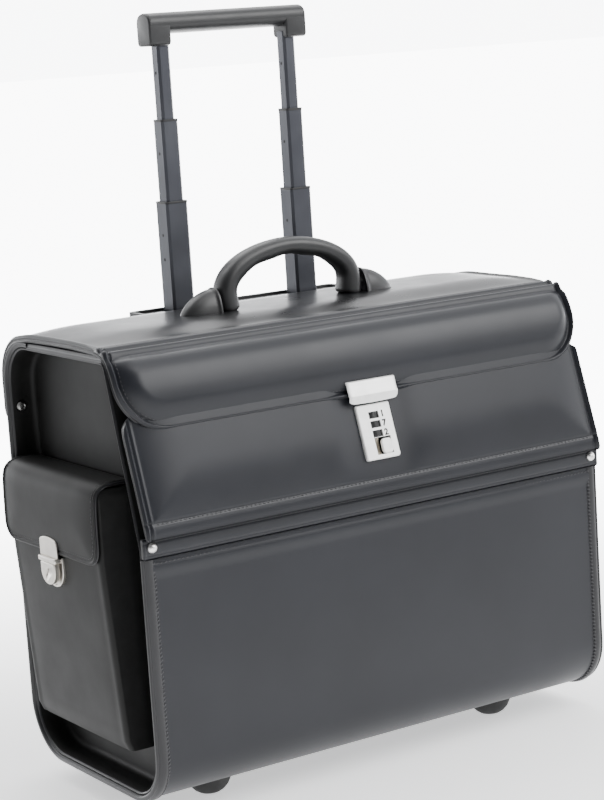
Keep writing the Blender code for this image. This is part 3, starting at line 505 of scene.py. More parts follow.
class Panel:
    """A flat pattern with rounded corners, laid on a surface and given a profile.

    The pattern is the rectangle low..high in (u, v).  lift(d, u, v) is the height of
    the face at distance d from the pattern's edge, and lay(u, v, h) gives the point.
    """

    RIM = ((0.0002, -0.0007), (-0.0004, -0.0015), (-0.0004, -0.0020), (0.0006, -0.0026),
           (0.0008, -0.0033), (0.0002, -0.0040))

    def __init__(self, low, high, low_r, high_r, lift, lay, rim=RIM):
        self.low, self.high = low, high
        self.low_r, self.high_r = low_r, high_r
        self.lift, self.lay = lift, lay
        self.rim = rim

    def span(self, u):
        """Lowest and highest v of the pattern at u."""
        low, high = self.low[1], self.high[1]
        near = min(u - self.low[0], self.high[0] - u)
        for radius, side in ((self.low_r, 0), (self.high_r, 1)):
            if near < radius:
                over = radius - near
                rise = radius - math.sqrt(max(radius ** 2 - over ** 2, 0))
                if side == 0:
                    low += rise
                else:
                    high -= rise
        return low, high

    def edge_distance(self, u, v):
        """Distance in from the edge, and the outward direction there."""
        half = ((self.high[0] - self.low[0]) / 2, (self.high[1] - self.low[1]) / 2)
        mid = ((self.high[0] + self.low[0]) / 2, (self.high[1] + self.low[1]) / 2)
        pu, pv = u - mid[0], v - mid[1]
        radius = self.low_r if pv < 0 else self.high_r
        qu, qv = abs(pu) - half[0] + radius, abs(pv) - half[1] + radius
        if qu > 0 and qv > 0:
            size = math.hypot(qu, qv)
            out = Vector((math.copysign(qu / size, pu), math.copysign(qv / size, pv)))
            return radius - size, out
        if qu > qv:
            return radius - qu, Vector((math.copysign(1, pu), 0))
        return radius - qv, Vector((0, math.copysign(1, pv)))

    def point(self, u, v, extra=0.0):
        d, _ = self.edge_distance(u, v)
        return Vector(self.lay(u, v, self.lift(max(d, 0), u, v) + extra))

    def mesh(self, name, front_mat, edge_mat, back_mat, step=0.006, edge=0.008,
             fine=0.0007, angle=60):
        us = spread(self.low[0], self.high[0], step, edge, fine)
        vs = spread(0.0, 1.0, step / (self.high[1] - self.low[1]),
                    edge / (self.high[1] - self.low[1]),
                    fine / (self.high[1] - self.low[1]))
        bm = bmesh.new()
        grid, flat = [], []
        for u in us:
            low, high = self.span(u)
            column = [(u, low + (high - low) * share) for share in vs]
            flat.append(column)
            grid.append([bm.verts.new(self.point(*pair)) for pair in column])
        last_u, last_v = len(us) - 1, len(vs) - 1
        order = [(i, 0) for i in range(last_u)] + [(last_u, j) for j in range(last_v)]
        order += [(i, last_v) for i in range(last_u, 0, -1)]
        order += [(0, j) for j in range(last_v, 0, -1)]
        self.quads(bm, grid, 0, False)
        ring = [grid[i][j] for i, j in order]
        for out_by, height in self.rim:
            fresh = []
            for i, j in order:
                u, v = flat[i][j]
                _, out = self.edge_distance(u, v)
                fresh.append(bm.verts.new(self.lay(u + out.x * out_by, v + out.y * out_by,
                                                   height)))
            self.join(bm, ring, fresh, 1)
            ring = fresh
        back = [[None] * len(vs) for _ in us]
        for (i, j), vert in zip(order, ring):
            back[i][j] = vert
        depth = self.rim[-1][1]
        for i in range(1, last_u):
            for j in range(1, last_v):
                back[i][j] = bm.verts.new(self.lay(*flat[i][j], depth))
        self.quads(bm, back, 2, True)
        bmesh.ops.recalc_face_normals(bm, faces=bm.faces)
        return add(name, bm, front_mat, edge_mat, back_mat, angle=angle)

    def quads(self, bm, grid, index, flip):
        for one, two in zip(grid, grid[1:]):
            for j in range(len(one) - 1):
                corners = [one[j], two[j], two[j + 1], one[j + 1]]
                if flip:
                    corners.reverse()
                bm.faces.new(corners).material_index = index

    def join(self, bm, ring, fresh, index):
        count = len(ring)
        for k in range(count):
            after = (k + 1) % count
            bm.faces.new((ring[k], ring[after], fresh[after],
                          fresh[k])).material_index = index

    def border(self, inset, sides="LBRT"):
        """Points (u, v) every stitch along the pattern's edge at that inset."""
        low = (self.low[0] + inset, self.low[1] + inset)
        high = (self.high[0] - inset, self.high[1] - inset)
        low_r, high_r = max(self.low_r - inset, 0.0005), max(self.high_r - inset, 0.0005)
        chain = []
        if "L" in sides:
            chain += [(low[0], high[1] - high_r), (low[0], low[1] + low_r)]
        if "B" in sides:
            chain += arc(low[0] + low_r, low[1] + low_r, low_r, 180, 270, 12)
            chain += arc(high[0] - low_r, low[1] + low_r, low_r, 270, 360, 12)
        if "R" in sides:
            chain += [(high[0], low[1] + low_r), (high[0], high[1] - high_r)]
        if "T" in sides:
            chain += arc(high[0] - high_r, high[1] - high_r, high_r, 0, 90, 8)
            chain += arc(low[0] + high_r, high[1] - high_r, high_r, 90, 180, 8)
        return Path(chain)

    def stitches(self, bm, route, height=0.0, pitch=STITCH_PITCH, length=STITCH_LENGTH,
                 radius=STITCH_R):
        count = max(int(route.length / pitch), 1)
        for k in range(count):
            s = (k + 0.5) * route.length / count
            one, two = route.at(s - length / 2), route.at(s + length / 2)
            here = route.at(s)
            start, stop = self.point(*one), self.point(*two)
            middle = self.point(*here, height)
            up = self.point(*here, 0.001) - self.point(*here)
            capsule(bm, middle, stop - start, up, length, radius)


# ------------------------------------------------------------ lower shell

def shell_route(inset, front_top, rear_top, dense=10):
    """Side section of the shell: front face, bottom, back and rear top corner."""
    points = [(FRONT + inset, front_top)]
    points += arc(FRONT + FRONT_CORNER, BOTTOM + FRONT_CORNER, FRONT_CORNER - inset, 180,
                  270, dense * 2)
    points += arc(BACK - REAR_CORNER, BOTTOM + REAR_CORNER, REAR_CORNER - inset, 270, 360,
                  dense * 2)
    points += arc(BACK - TOP_CORNER, TOP - TOP_CORNER, TOP_CORNER - inset, 0, 90,
                  dense * 2)
    points.append((rear_top, TOP - inset))
    return Path(points)


def make_shell():
    route = shell_route(0, 0.2495, LID_AXIS.y + 0.002)
    half = 0.2362
    low_face = 0.185                    # length of the flat front

    def lift(d, u, v):
        share = min(max(v / low_face, 0), 1)
        crown = 0.0026 * math.sin(math.pi * share) * (1 - (abs(u) / half) ** 3)
        hem = bump(v, 0.0250, 0.0100, 0.0016) - bump(v, 0.0202, 0.0014, 0.0005)
        return crown + hem if v < low_face else 0.0

    def lay(u, v, h):
        point, normal = route.frame(v)
        return (u, point.x + normal.x * h, point.y + normal.y * h)

    rim = ((0.0001, -0.0010), (0.0001, -0.0030), (-0.0004, -WALL))
    panel = Panel((-half, 0), (half, route.length), 0.0004, 0.0004, lift, lay, rim)
    shell = panel.mesh("shell_leather", LEATHER, EDGE, LINING, step=0.006, edge=0.040,
                       fine=0.0015)
    holes = []
    for side, _ in SIDES:
        low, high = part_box("wheel_housing_" + side)
        holes.append(block("hole", (low.x - 0.0002, low.y - 0.0002, low.z - 0.02),
                           (high.x + 0.0002, high.y + 0.02, high.z + 0.0002)))
    holes.append(block("hole", (BEZEL_LOW.x, BEZEL_LOW.y, BEZEL_LOW.z),
                       (BEZEL_HIGH.x, BEZEL_HIGH.y + 0.02, BEZEL_HIGH.z + 0.02)))
    cut(shell, *holes)
    settle(shell, "case", "leather", "body_wrap")


def make_binding():
    """The rolled leather edging of the shell's rims, with its overcast stitches."""
    section = ((0.2298, -0.0002), (0.2298, 0.0004), (0.2304, 0.0012), (0.2320, 0.0019),
               (0.2342, 0.0021), (0.2362, 0.0016), (0.2376, 0.0004), (0.2382, 0.0002),
               (0.2388, 0.0006), (0.2397, 0.0006), (0.2404, -0.0004), (0.2406, -0.0018),
               (0.2402, -0.0032), (0.2392, -0.0042), (0.2376, -0.0046),
               (0.2366, -0.0038), (0.2366, -0.0002))
    route = shell_route(0, STRIP_LOW.z - 0.0002, LID_AXIS.y + 0.002, 12)
    stations = spread(0, route.length, 0.005, 0.004, 0.002)
    for side, sign in SIDES:
        bm = bmesh.new()
        rings = []
        for s in stations:
            point, normal = route.frame(s)
            bare = point.y < REAR_LOW.z or point.x < 0
            ring = []
            for x, h in section:
                h = h if bare or h < 0 else 0.0
                ring.append(bm.verts.new((sign * x, point.x + normal.x * h,
                                          point.y + normal.y * h)))
            rings.append(ring)
        count = len(section)
        for one, two in zip(rings, rings[1:]):
            for k in range(count):
                after = (k + 1) % count
                bm.faces.new((one[k], one[after], two[after], two[k]))
        bm.faces.new(rings[0])
        bm.faces.new(rings[-1])
        bmesh.ops.recalc_face_normals(bm, faces=bm.faces)
        bead = add("rim_binding_" + side, bm, EDGE, angle=50)
        settle(bead, "case", "piping", "rim_piping_" + side)

        bm = bmesh.new()
        pitch = 0.0034
        for k in range(int((route.length - 0.01) / pitch)):
            s = 0.004 + k * pitch
            point, normal = route.frame(s)
            if point.y > REAR_LOW.z - 0.003 and point.x > 0:
                continue
            after, _ = route.frame(s + 0.001)
            along = Vector((0, after.x - point.x, after.y - point.y)).normalized()
            up = Vector((0, normal.x, normal.y))
            middle = Vector((sign * 0.2300, point.x + normal.x * 0.0009,
                             point.y + normal.y * 0.0009))
            slant = (along * 0.40 + Vector((sign, 0, 0)) + up * 0.25).normalized()
            capsule(bm, middle, slant, up, 0.0046, 0.00085)
        stitches = add("rim_stitches_" + side, bm, THREAD)
        settle(stitches, "case", "piping")

        bm = bmesh.new()
        rings = []
        low, high = 0.0440, LID_AXIS.y - FRONT + 0.004
        for k in range(41):
            y = Y(low + (high - low) * k / 40)
            rings.append([bm.verts.new((sign * (0.2370 + 0.0026 * math.cos(a)), y,
                                        0.3928 + 0.0032 * math.sin(a)))
                          for a in [2 * math.pi * j / 14 for j in range(14)]])
        for one, two in zip(rings, rings[1:]):
            for k in range(14):
                after = (k + 1) % 14
                bm.faces.new((one[k], one[after], two[after], two[k]))
        bm.faces.new(rings[0])
        bm.faces.new(rings[-1])
        bmesh.ops.recalc_face_normals(bm, faces=bm.faces)
        settle(add("top_rim_" + side, bm, EDGE), "case", "piping")


# ---------------------------------------------------------------- end trays

def tray_route():
    inset = WALL + 0.0003
    low = (FRONT + 0.0048, 0.2400)
    high = (FRONT + 0.0430, 0.3905)
    points = [low]
    route = shell_route(inset, low[1], LID_AXIS.y, 8)
    points += [tuple(point) for point in route.points[1:-1]]
    points.append((high[0] + 0.010, TOP - inset))
    points += [(high[0] + 0.004, TOP - inset - 0.0004), (high[0] + 0.0012, TOP - inset - 0.0018),
               (high[0] - 0.0006, high[1] - 0.0035)]
    points += [(low[0] + 0.0012, low[1] + 0.005), (low[0] + 0.0002, low[1] + 0.002)]
    return Path(points, closed=True)


def make_trays():
    """Recessed ends: flange all round with a fine rolled lip, and a padded panel."""
    route = tray_route()
    reach = 0.2150
    lip = 0.2374
    section = ((reach - 0.0032, 0.0), (lip - 0.0012, 0.0), (lip + 0.0004, -0.0002),
               (lip + 0.0010, -0.0011), (lip + 0.0007, -0.0021), (lip - 0.0006, -0.0027),
               (reach + 0.0120, -0.0029), (reach + 0.0045, -0.0031), (reach + 0.0016, -0.0040),
               (reach + 0.0003, -0.0060), (reach, -0.0085))
    count = 220
    for side, sign in SIDES:
        bm = bmesh.new()
        rings = []
        for x, h in section:
            ring = []
            for k in range(count):
                point, normal = route.frame(route.length * k / count, 0.002)
                ring.append(bm.verts.new((sign * x, point.x + normal.x * h,
                                          point.y + normal.y * h)))
            rings.append(ring)
        for number, (one, two) in enumerate(zip(rings, rings[1:])):
            for k in range(count):
                after = (k + 1) % count
                face = bm.faces.new((one[k], one[after], two[after], two[k]))
                face.material_index = 1 if 0 < number < 5 else 0
        bm.faces.new(rings[-1])
        back = bm.faces.new(rings[0])
        back.material_index = 2
        bmesh.ops.triangulate(bm, faces=[face for face in bm.faces if len(face.verts) > 4])
        bmesh.ops.recalc_face_normals(bm, faces=bm.faces)
        # The end recess wears the darker leather copy: painted shade.
        tray = add("end_recess_" + side, bm, SHADED_END_LEATHER, EDGE, LINING, angle=50)
        settle(tray, "case", "leather", "end_tray_" + side)


# ------------------------------------------------------------- lid and apron

def smoothed(points, rounds=3):
    """Corner-cutting of a coarse route."""
    points = [Vector(point) for point in points]
    for _ in range(rounds):
        cut_points = [points[0]]
        for one, two in zip(points, points[1:]):
            cut_points += [one.lerp(two, 0.25), one.lerp(two, 0.75)]
        cut_points.append(points[-1])
        points = cut_points
    return points


def apron_route():
    """From the apron's lower edge up over the shoulder to the lid's front seam."""
    points = [(Y(0.0002 + 0.32 * (z - 0.300)), z) for z in (0.3338, 0.345, 0.358, 0.370)]
    points += [(Y(0.0262), 0.3800), (Y(0.0320), 0.3905), (Y(0.0395), 0.3968),
               (Y(0.0480), 0.3992), (Y(0.0575), 0.4002)]
    return Path(smoothed(points), side=-1)


def make_apron():
    route = apron_route()
    half = 0.2404
    fold = route.length
    virtual = Panel((-half, 0), (half, fold + 0.2), 0.043, 0.001, None, None)

    def lift(d, u, v):
        d = max(virtual.edge_distance(u, v)[0], 0)
        up = fold - v
        meet = min(max(up - 0.002, 0) / 0.018, 1) ** 2
        height = bump(d, 0.0021, 0.0025, 0.0027) * (0.3 + 0.7 * meet)
        height -= bump(d, 0.0052, 0.0016, 0.0012)
        share = min(max((v - 0.0075) / (fold - 0.0275), 0), 1)
        edge = 1 - (1 - min(max(d - 0.0068, 0) / 0.017, 1)) ** 2.2
        top = 1 - (1 - min(max(up - 0.0190, 0) / 0.022, 1)) ** 2.0
        height += 0.0088 * edge * top * (0.45 + 0.55 * math.sin(math.pi * share) ** 0.7)
        height += bump(up, 0.0060, 0.0058, 0.0024) + bump(up, 0.0165, 0.0052, 0.0024)
        height -= bump(up, 0.0113, 0.0030, 0.0010) + bump(up, 0.0235, 0.0050, 0.0012)
        return height

    def lay(u, v, h):
        point, normal = route.frame(v)
        narrow = 1 - 0.0085 * max((v - fold + 0.030) / 0.030, 0)
        return (u * narrow, point.x + normal.x * h, point.y + normal.y * h)

    rim = ((0.0004, -0.0004), (0.0006, -0.0012), (-0.0002, -0.0020), (-0.0004, -0.0025),
           (0.0006, -0.0031), (0.0008, -0.0038), (0.0002, -0.0044))
    panel = Panel((-half, 0), (half, fold), 0.043, 0.0008, lift, lay, rim)
    apron = panel.mesh("apron_leather", LEATHER, EDGE, LINING, step=0.0045, edge=0.032,
                       fine=0.0009)
    settle(apron, "lid", "leather", "lid_apron")
    bm = bmesh.new()
    panel.stitches(bm, virtual.border(0.0072, "LBR"), 0.0001)
    settle(add("apron_stitches", bm, THREAD), "lid", "leather")
    bm = bmesh.new()
    rings = []
    for k in range(97):
        share = 2 * k / 96 - 1
        size = math.sqrt(max(1 - abs(share) ** 40, 0.02))
        rings.append([bm.verts.new((share * 0.2384, Y(0.0566) + 0.0027 * size * math.cos(a),
                                    0.3998 + 0.0022 * size * math.sin(a)))
                      for a in [2 * math.pi * j / 16 for j in range(16)]])
    for one, two in zip(rings, rings[1:]):
        for j in range(16):
            after = (j + 1) % 16
            bm.faces.new((one[j], one[after], two[after], two[j]))
    bm.faces.new(rings[0])
    bm.faces.new(rings[-1])
    bmesh.ops.recalc_face_normals(bm, faces=bm.faces)
    settle(add("crease_roll", bm, EDGE), "lid", "leather")


def lid_route():
    points = [(Y(0.0563), 0.4008), (Y(0.075), 0.4018), (Y(0.100), 0.4026),
              (Y(0.170), 0.4024), (Y(0.180), 0.4016)]
    points += arc(Y(0.1915), 0.3590, 0.0405, 90, 0, 24)[2:]
    points += [(Y(0.2320), 0.340), (Y(0.2320), 0.3165)]
    return Path(points, side=-1)


def make_lid():
    """One hide: the lid's top, over the rear corner, down to the rear flap's hem."""
    route = lid_route()
    half = 0.2402
    flat = 0.130
    virtual = Panel((-half, -0.2), (half, route.length), 0.001, 0.016, None, None)

    def lift(d, u, v):
        d = max(virtual.edge_distance(u, v)[0], 0)
        height = bump(d, 0.0016, 0.0019, 0.0014) * (0.3 + 0.7 * min(max(v, 0) / 0.018, 1))
        height -= bump(d, 0.0040, 0.0013, 0.0006)
        window = min(max((v - 0.006) / 0.030, 0), 1)
        window = window * window * (3 - 2 * window)
        fade = 1 - min(max((v - flat) / 0.055, 0), 1) * 0.90
        height += swell(d, 0.0075, 0.050, 0.0040) * window * fade
        height -= bump(v, 0.0022, 0.0035, 0.0006)
        return height

    def lay(u, v, h):
        point, normal = route.frame(v)
        widen = 0.9905 + 0.0085 * min(max((v - 0.080) / 0.060, 0), 1)
        return (u * widen, point.x + normal.x * h, point.y + normal.y * h)

    rim = ((0.0003, -0.0006), (0.0005, -0.0015), (-0.0002, -0.0022), (-0.0003, -0.0027),
           (0.0005, -0.0035), (0.0005, -0.0047), (0.0, -0.0056), (-0.0010, -0.0060))
    panel = Panel((-half, 0), (half, route.length), 0.0008, 0.016, lift, lay, rim)
    lid = panel.mesh("lid_leather", TOP_LEATHER, EDGE, LINING, step=0.006, edge=0.008,
                     fine=0.0008)
    cut(lid, block("notch", (BEZEL_LOW.x - 0.0004, BEZEL_LOW.y - 0.0004, 0.3615),
                   (BEZEL_HIGH.x + 0.0004, 0.2, 0.45)))
    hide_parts("lid_panel", "rear_top_wrap")
    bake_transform(lid)


# ------------------------------------------------- upper front panel and strip

def on_slope(x, up, out, z=0.2540):
    """A point of the leaning front: across, up its slope and out from its face."""
    return Vector((x, Y(0.0047 + 0.32 * (z - 0.300)) + math.sin(SLOPE) * up
                   - math.cos(SLOPE) * out,
                   z + math.cos(SLOPE) * up + math.sin(SLOPE) * out))


def make_front_panel():
    half, tall = 0.2387, 0.1040

    def lift(d, u, v):
        side = max(half - abs(u), 0)
        height = bump(side, 0.0020, 0.0024, 0.0020) - bump(side, 0.0048, 0.0014, 0.0008)
        height += bump(side, 0.0068, 0.0013, 0.0006)
        height -= 0.0026 * max(1 - v / 0.0095, 0) ** 2
        height -= bump(v, 0.0135, 0.0020, 0.0007)
        inner = min(max(side - 0.0085, 0), max(v - 0.0140, 0))
        beside = 1 - 0.80 * math.exp(-(u / 0.036) ** 4)
        return height + swell(inner, 0, 0.045, 0.0060) * beside

    def lay(u, v, h):
        return on_slope(u, v - 0.0038, h)

    rim = ((0.0004, -0.0008), (0.0002, -0.0018), (-0.0004, -0.0022), (0.0, -0.0028),
           (0.0, -0.0040), (-0.0008, -0.0050), (-0.0016, -0.0056))
    panel = Panel((-half, 0), (half, tall), 0.0030, 0.016, lift, lay, rim)
    front = panel.mesh("front_panel_leather", LEATHER, EDGE, LINING, step=0.0055,
                       edge=0.016, fine=0.0009)
    corners = [on_slope(x, up, out, 0.3015) for x in (-0.0136, 0.0136)
               for up in (-0.0224, 0.0216) for out in (-0.02, 0.02)]
    bm = bmesh.new()
    bmesh.ops.convex_hull(bm, input=[bm.verts.new(point) for point in corners])
    cut(front, add("hole", bm))
    settle(front, "front_panel", "leather", "front_upper_panel")
    bm = bmesh.new()
    hem = Path([(-half + 0.0105, 0.0125), (half - 0.0105, 0.0125)])
    panel.stitches(bm, hem, 0.0004, 0.0042, 0.0030, 0.00045)
    for sign in (-1, 1):
        line = Path([(sign * (half - 0.0048), 0.0125), (sign * (half - 0.0048), 0.098)])
        panel.stitches(bm, line, -0.0001, 0.0040, 0.0028, 0.00030)
    settle(add("front_panel_stitches", bm, THREAD), "front_panel", "leather")


def make_strip():
    """The hinge strip between the lower shell and the leaning panel."""
    half = 0.2398
    low, high = STRIP_LOW.z, STRIP_HIGH.z
    tall = high - low

    def lift(d, u, v):
        share = min(max(v / tall, 0), 1)
        side = max(half - abs(u), 0)
        height = 0.0016 * (math.sin(math.pi * share) ** 0.5 - 1)
        height += bump(side, 0.0014, 0.0016, 0.0006)
        return height - bump(v, 0.0036, 0.0012, 0.0004) - bump(tall - v, 0.0038, 0.0012,
                                                               0.0004)

    def lay(u, v, h):
        return (u, FRONT - 0.0034 - h, low + v)

    rim = ((0.0002, -0.0002), (0.0, -0.0010), (0.0, -0.0040))
    panel = Panel((-half, 0), (half, tall), 0.0012, 0.0012, lift, lay, rim)
    strip = panel.mesh("hinge_strip_leather", LEATHER, EDGE, EDGE, step=0.008,
                       edge=0.006, fine=0.0007)
    settle(strip, "case", "leather", "hinge_strip")
    bm = bmesh.new()
    for v in (0.0036, tall - 0.0038):
        panel.stitches(bm, Path([(-half + 0.012, v), (half - 0.012, v)]), -0.0002,
                       0.0040, 0.0028, 0.00030)
    settle(add("hinge_strip_stitches", bm, THREAD), "case", "leather")
    bm = bmesh.new()
    for k in range(112):
        x = -0.2270 + 0.454 * k / 111
        capsule(bm, Vector((x, FRONT - 0.0010, low - 0.0046)), Vector((1, 0, 0.1)),
                Vector((0, -1, 0)), 0.0030, 0.00045)
    settle(add("shell_hem_stitches", bm, THREAD), "case", "leather")


# ------------------------------------------------------------------- metalwork

def make_rivets():
    dome = [(0.0, 0.0034), (0.0010, 0.00335), (0.0020, 0.0030), (0.0030, 0.0024),
            (0.0038, 0.0016), (0.0043, 0.0007), (0.0044, 0.0), (0.0042, -0.0010),
            (0.0036, -0.0016), (0.0, -0.0016)]
    for side, sign in SIDES:
        low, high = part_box("front_rivet_" + side)
        centre = (low + high) / 2
        centre.y = FRONT - 0.0036
        rivet = lathe("rivet_dome_" + side, dome, centre, (0, -1, 0), NICKEL)
        settle(rivet, "case", "nickel", "front_rivet_" + side)
        low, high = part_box("rear_rivet_" + side)
        centre = (low + high) / 2
        centre.y = low.y - 0.0002
        ring = [(0.0, 0.0020), (0.0010, 0.0019), (0.0013, 0.0012), (0.0017, 0.0012),
                (0.0026, 0.0022), (0.0036, 0.0017), (0.0042, 0.0006), (0.0043, -0.0008),
                (0.0, -0.0008)]
        # The rear rivets wear the darkened nickel copy: painted shade.
        rivet = lathe("rear_rivet_dome_" + side, ring, centre, (0, -1, 0), SHADED_NICKEL)
        settle(rivet, "case", "nickel", "rear_rivet_" + side)


def make_hasp():
    """The cap over the lock: flat upper face, ridge line and sloped lower face."""
    rows = ((0.0100, 0.0085), (0.0088, 0.0098), (-0.0020, 0.0098), (-0.0036, 0.0106),
            (None, 0.0088))
    columns = 28
    bm = bmesh.new()
    grid = []
    for row, reach in rows:
        line = []
        for k in range(columns + 1):
            share = k / columns
            bottom = hasp_bottom(share)
            up = bottom if row is None else max(row, bottom + 0.0004)
            out = reach - (0.0010 if k in (0, columns) else 0)
            line.append(bm.verts.new(on_slope(-0.0245 + 0.0508 * share, up, out, 0.3352)))
        grid.append(line)
    for one, two in zip(grid, grid[1:]):
        for k in range(columns):
            bm.faces.new((one[k], one[k + 1], two[k + 1], two[k]))
    bmesh.ops.recalc_face_normals(bm, faces=bm.faces)
    if sum(face.normal.y for face in bm.faces) > 0:
        bmesh.ops.reverse_faces(bm, faces=bm.faces)
    hasp = add("hasp_cap", bm, PALE)
    mod = hasp.modifiers.new("thick", "SOLIDIFY")
    mod.thickness = 0.0042
    mod.offset = -1
    apply(hasp)
    bevelled(hasp, 0.0005, 2, 35)
    hasp.data.shade_smooth()
    hasp.data.set_sharp_from_angle(angle=math.radians(30))
    settle(hasp, "lid", "nickel", "hasp")


def hasp_bottom(share):
    """Height of the cap's lower edge across its width."""
    if share > 0.92:
        return -0.0100 + (share - 0.92) / 0.08 * 0.0030
    if share < 0.05:
        return -0.0100 + (0.05 - share) / 0.05 * 0.0020
    return -0.0100 - 0.0006 * math.sin(math.pi * (share - 0.05) / 0.87)


def make_dials():
    """Knurled finger wheels; the figures beside them are made by make_digits."""
    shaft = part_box("dial_shaft")
    for number in (1, 2, 3):
        node = "dial_%d" % number
        low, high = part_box(node)
        centre = (low + high) / 2
        axis = Vector((0, math.sin(SLOPE), math.cos(SLOPE)))
        radius, half = 0.0045, 0.0030
        bm = bmesh.new()
        teeth = 30
        rings = []
        for height, inset in ((-half, 0.0006), (-half + 0.0006, 0), (half - 0.0006, 0),
                              (half, 0.0006)):
            ring = []
            for k in range(teeth * 4):
                tooth = 0.00032 if k % 4 in (0, 1) else 0
                angle = 2 * math.pi * k / (teeth * 4)
                reach = radius - inset - tooth
                ring.append(bm.verts.new((reach * math.cos(angle),
                                          reach * math.sin(angle), height)))
            rings.append(ring)
        count = teeth * 4
        for one, two in zip(rings, rings[1:]):
            for k in range(count):
                after = (k + 1) % count
                bm.faces.new((one[k], one[after], two[after], two[k]))
        bm.faces.new(list(reversed(rings[0])))
        bm.faces.new(rings[-1])
        turn = Vector((0, 0, 1)).rotation_difference(axis).to_matrix().to_4x4()
        bmesh.ops.transform(bm, matrix=Matrix.Translation(centre) @ turn, verts=bm.verts)
        wheel = add("dial_wheel_%d" % number, bm, DIAL, angle=25)
        settle(wheel, "dial_%d" % number, "nickel", node)


def make_digits():
    """A generic figure beside each wheel, and the track behind the slider."""
    for number, figure in ((1, "1"), (2, "7"), (3, "2")):
        up = 0.0142 - (number - 1) * 0.0082
        curve = bpy.data.curves.new("digit_%d" % number, "FONT")
        curve.body = figure
        curve.size = 0.0076
        curve.align_x = "CENTER"
        curve.align_y = "CENTER"
        curve.extrude = 0.0001
        curve.offset = 0.00030
        text = bpy.data.objects.new("digit_text", curve)
        bpy.context.scene.collection.objects.link(text)
        bpy.context.view_layer.update()
        graph = bpy.context.evaluated_depsgraph_get()
        mesh = bpy.data.meshes.new_from_object(text.evaluated_get(graph))
        bpy.data.objects.remove(text, do_unlink=True)
        for vert in mesh.vertices:
            vert.co = on_slope(0.0078 + vert.co.x, up + vert.co.y, 0.0045 + vert.co.z,
                               0.3015)
        digit = bpy.data.objects.new("digit_%d" % number, mesh)
        bpy.context.scene.collection.objects.link(digit)
        mesh.materials.clear()
        mesh.materials.append(HOLE_SHADE_AND_FIGURES)
        settle(digit, "front_panel", "nickel")
    bm = bmesh.new()
    rows = []
    for up in (-0.0204, -0.0190, -0.0165, -0.0130, -0.0095, -0.0070, -0.0056):
        share = (up + 0.0204) / 0.0148
        hollow = 0.0012 * math.sin(math.pi * share)
        rows.append([bm.verts.new(on_slope(x, up, out - hollow, 0.3015))
                     for x, out in ((-0.0060, 0.0040), (-0.0052, 0.0030), (-0.0030, 0.0020),
                                    (-0.0004, 0.0016), (0.0002, 0.0016))])
    for one, two in zip(rows, rows[1:]):
        for k in range(len(one) - 1):
            bm.faces.new((one[k], one[k + 1], two[k + 1], two[k]))
    bmesh.ops.recalc_face_normals(bm, faces=bm.faces)
    if sum(face.normal.y for face in bm.faces) > 0:
        bmesh.ops.reverse_faces(bm, faces=bm.faces)
    button = extrude("lock_button_cap", rounded(0.0, 0.0106, -0.0202, -0.0072, 0.0030),
                     lambda a, b, d: on_slope(a, b, 0.0056 - d, 0.3015), 0.0030, PALE)
    bevelled(button, 0.0009, 3, 40)
    settle(button, "lock_button", "nickel", "lock_button")
    track = add("slider_track", bm, BRASSY)
    mod = track.modifiers.new("thick", "SOLIDIFY")
    mod.thickness = 0.0006
    mod.offset = -1
    apply(track)
    settle(track, "front_panel", "nickel")


# ------------------------------------------------------------------ end pockets

def pocket_route(sign):
    """Flap from its hinge, over the rounded top and down the pocket's face."""
    points = [(0.2190, 0.2906), (0.2300, 0.2916), (0.2420, 0.2912), (0.2500, 0.2885),
              (0.2545, 0.2830), (0.2560, 0.2740), (0.2566, 0.2500), (0.2566, 0.2222)]
    return Path(smoothed(points), side=-1)


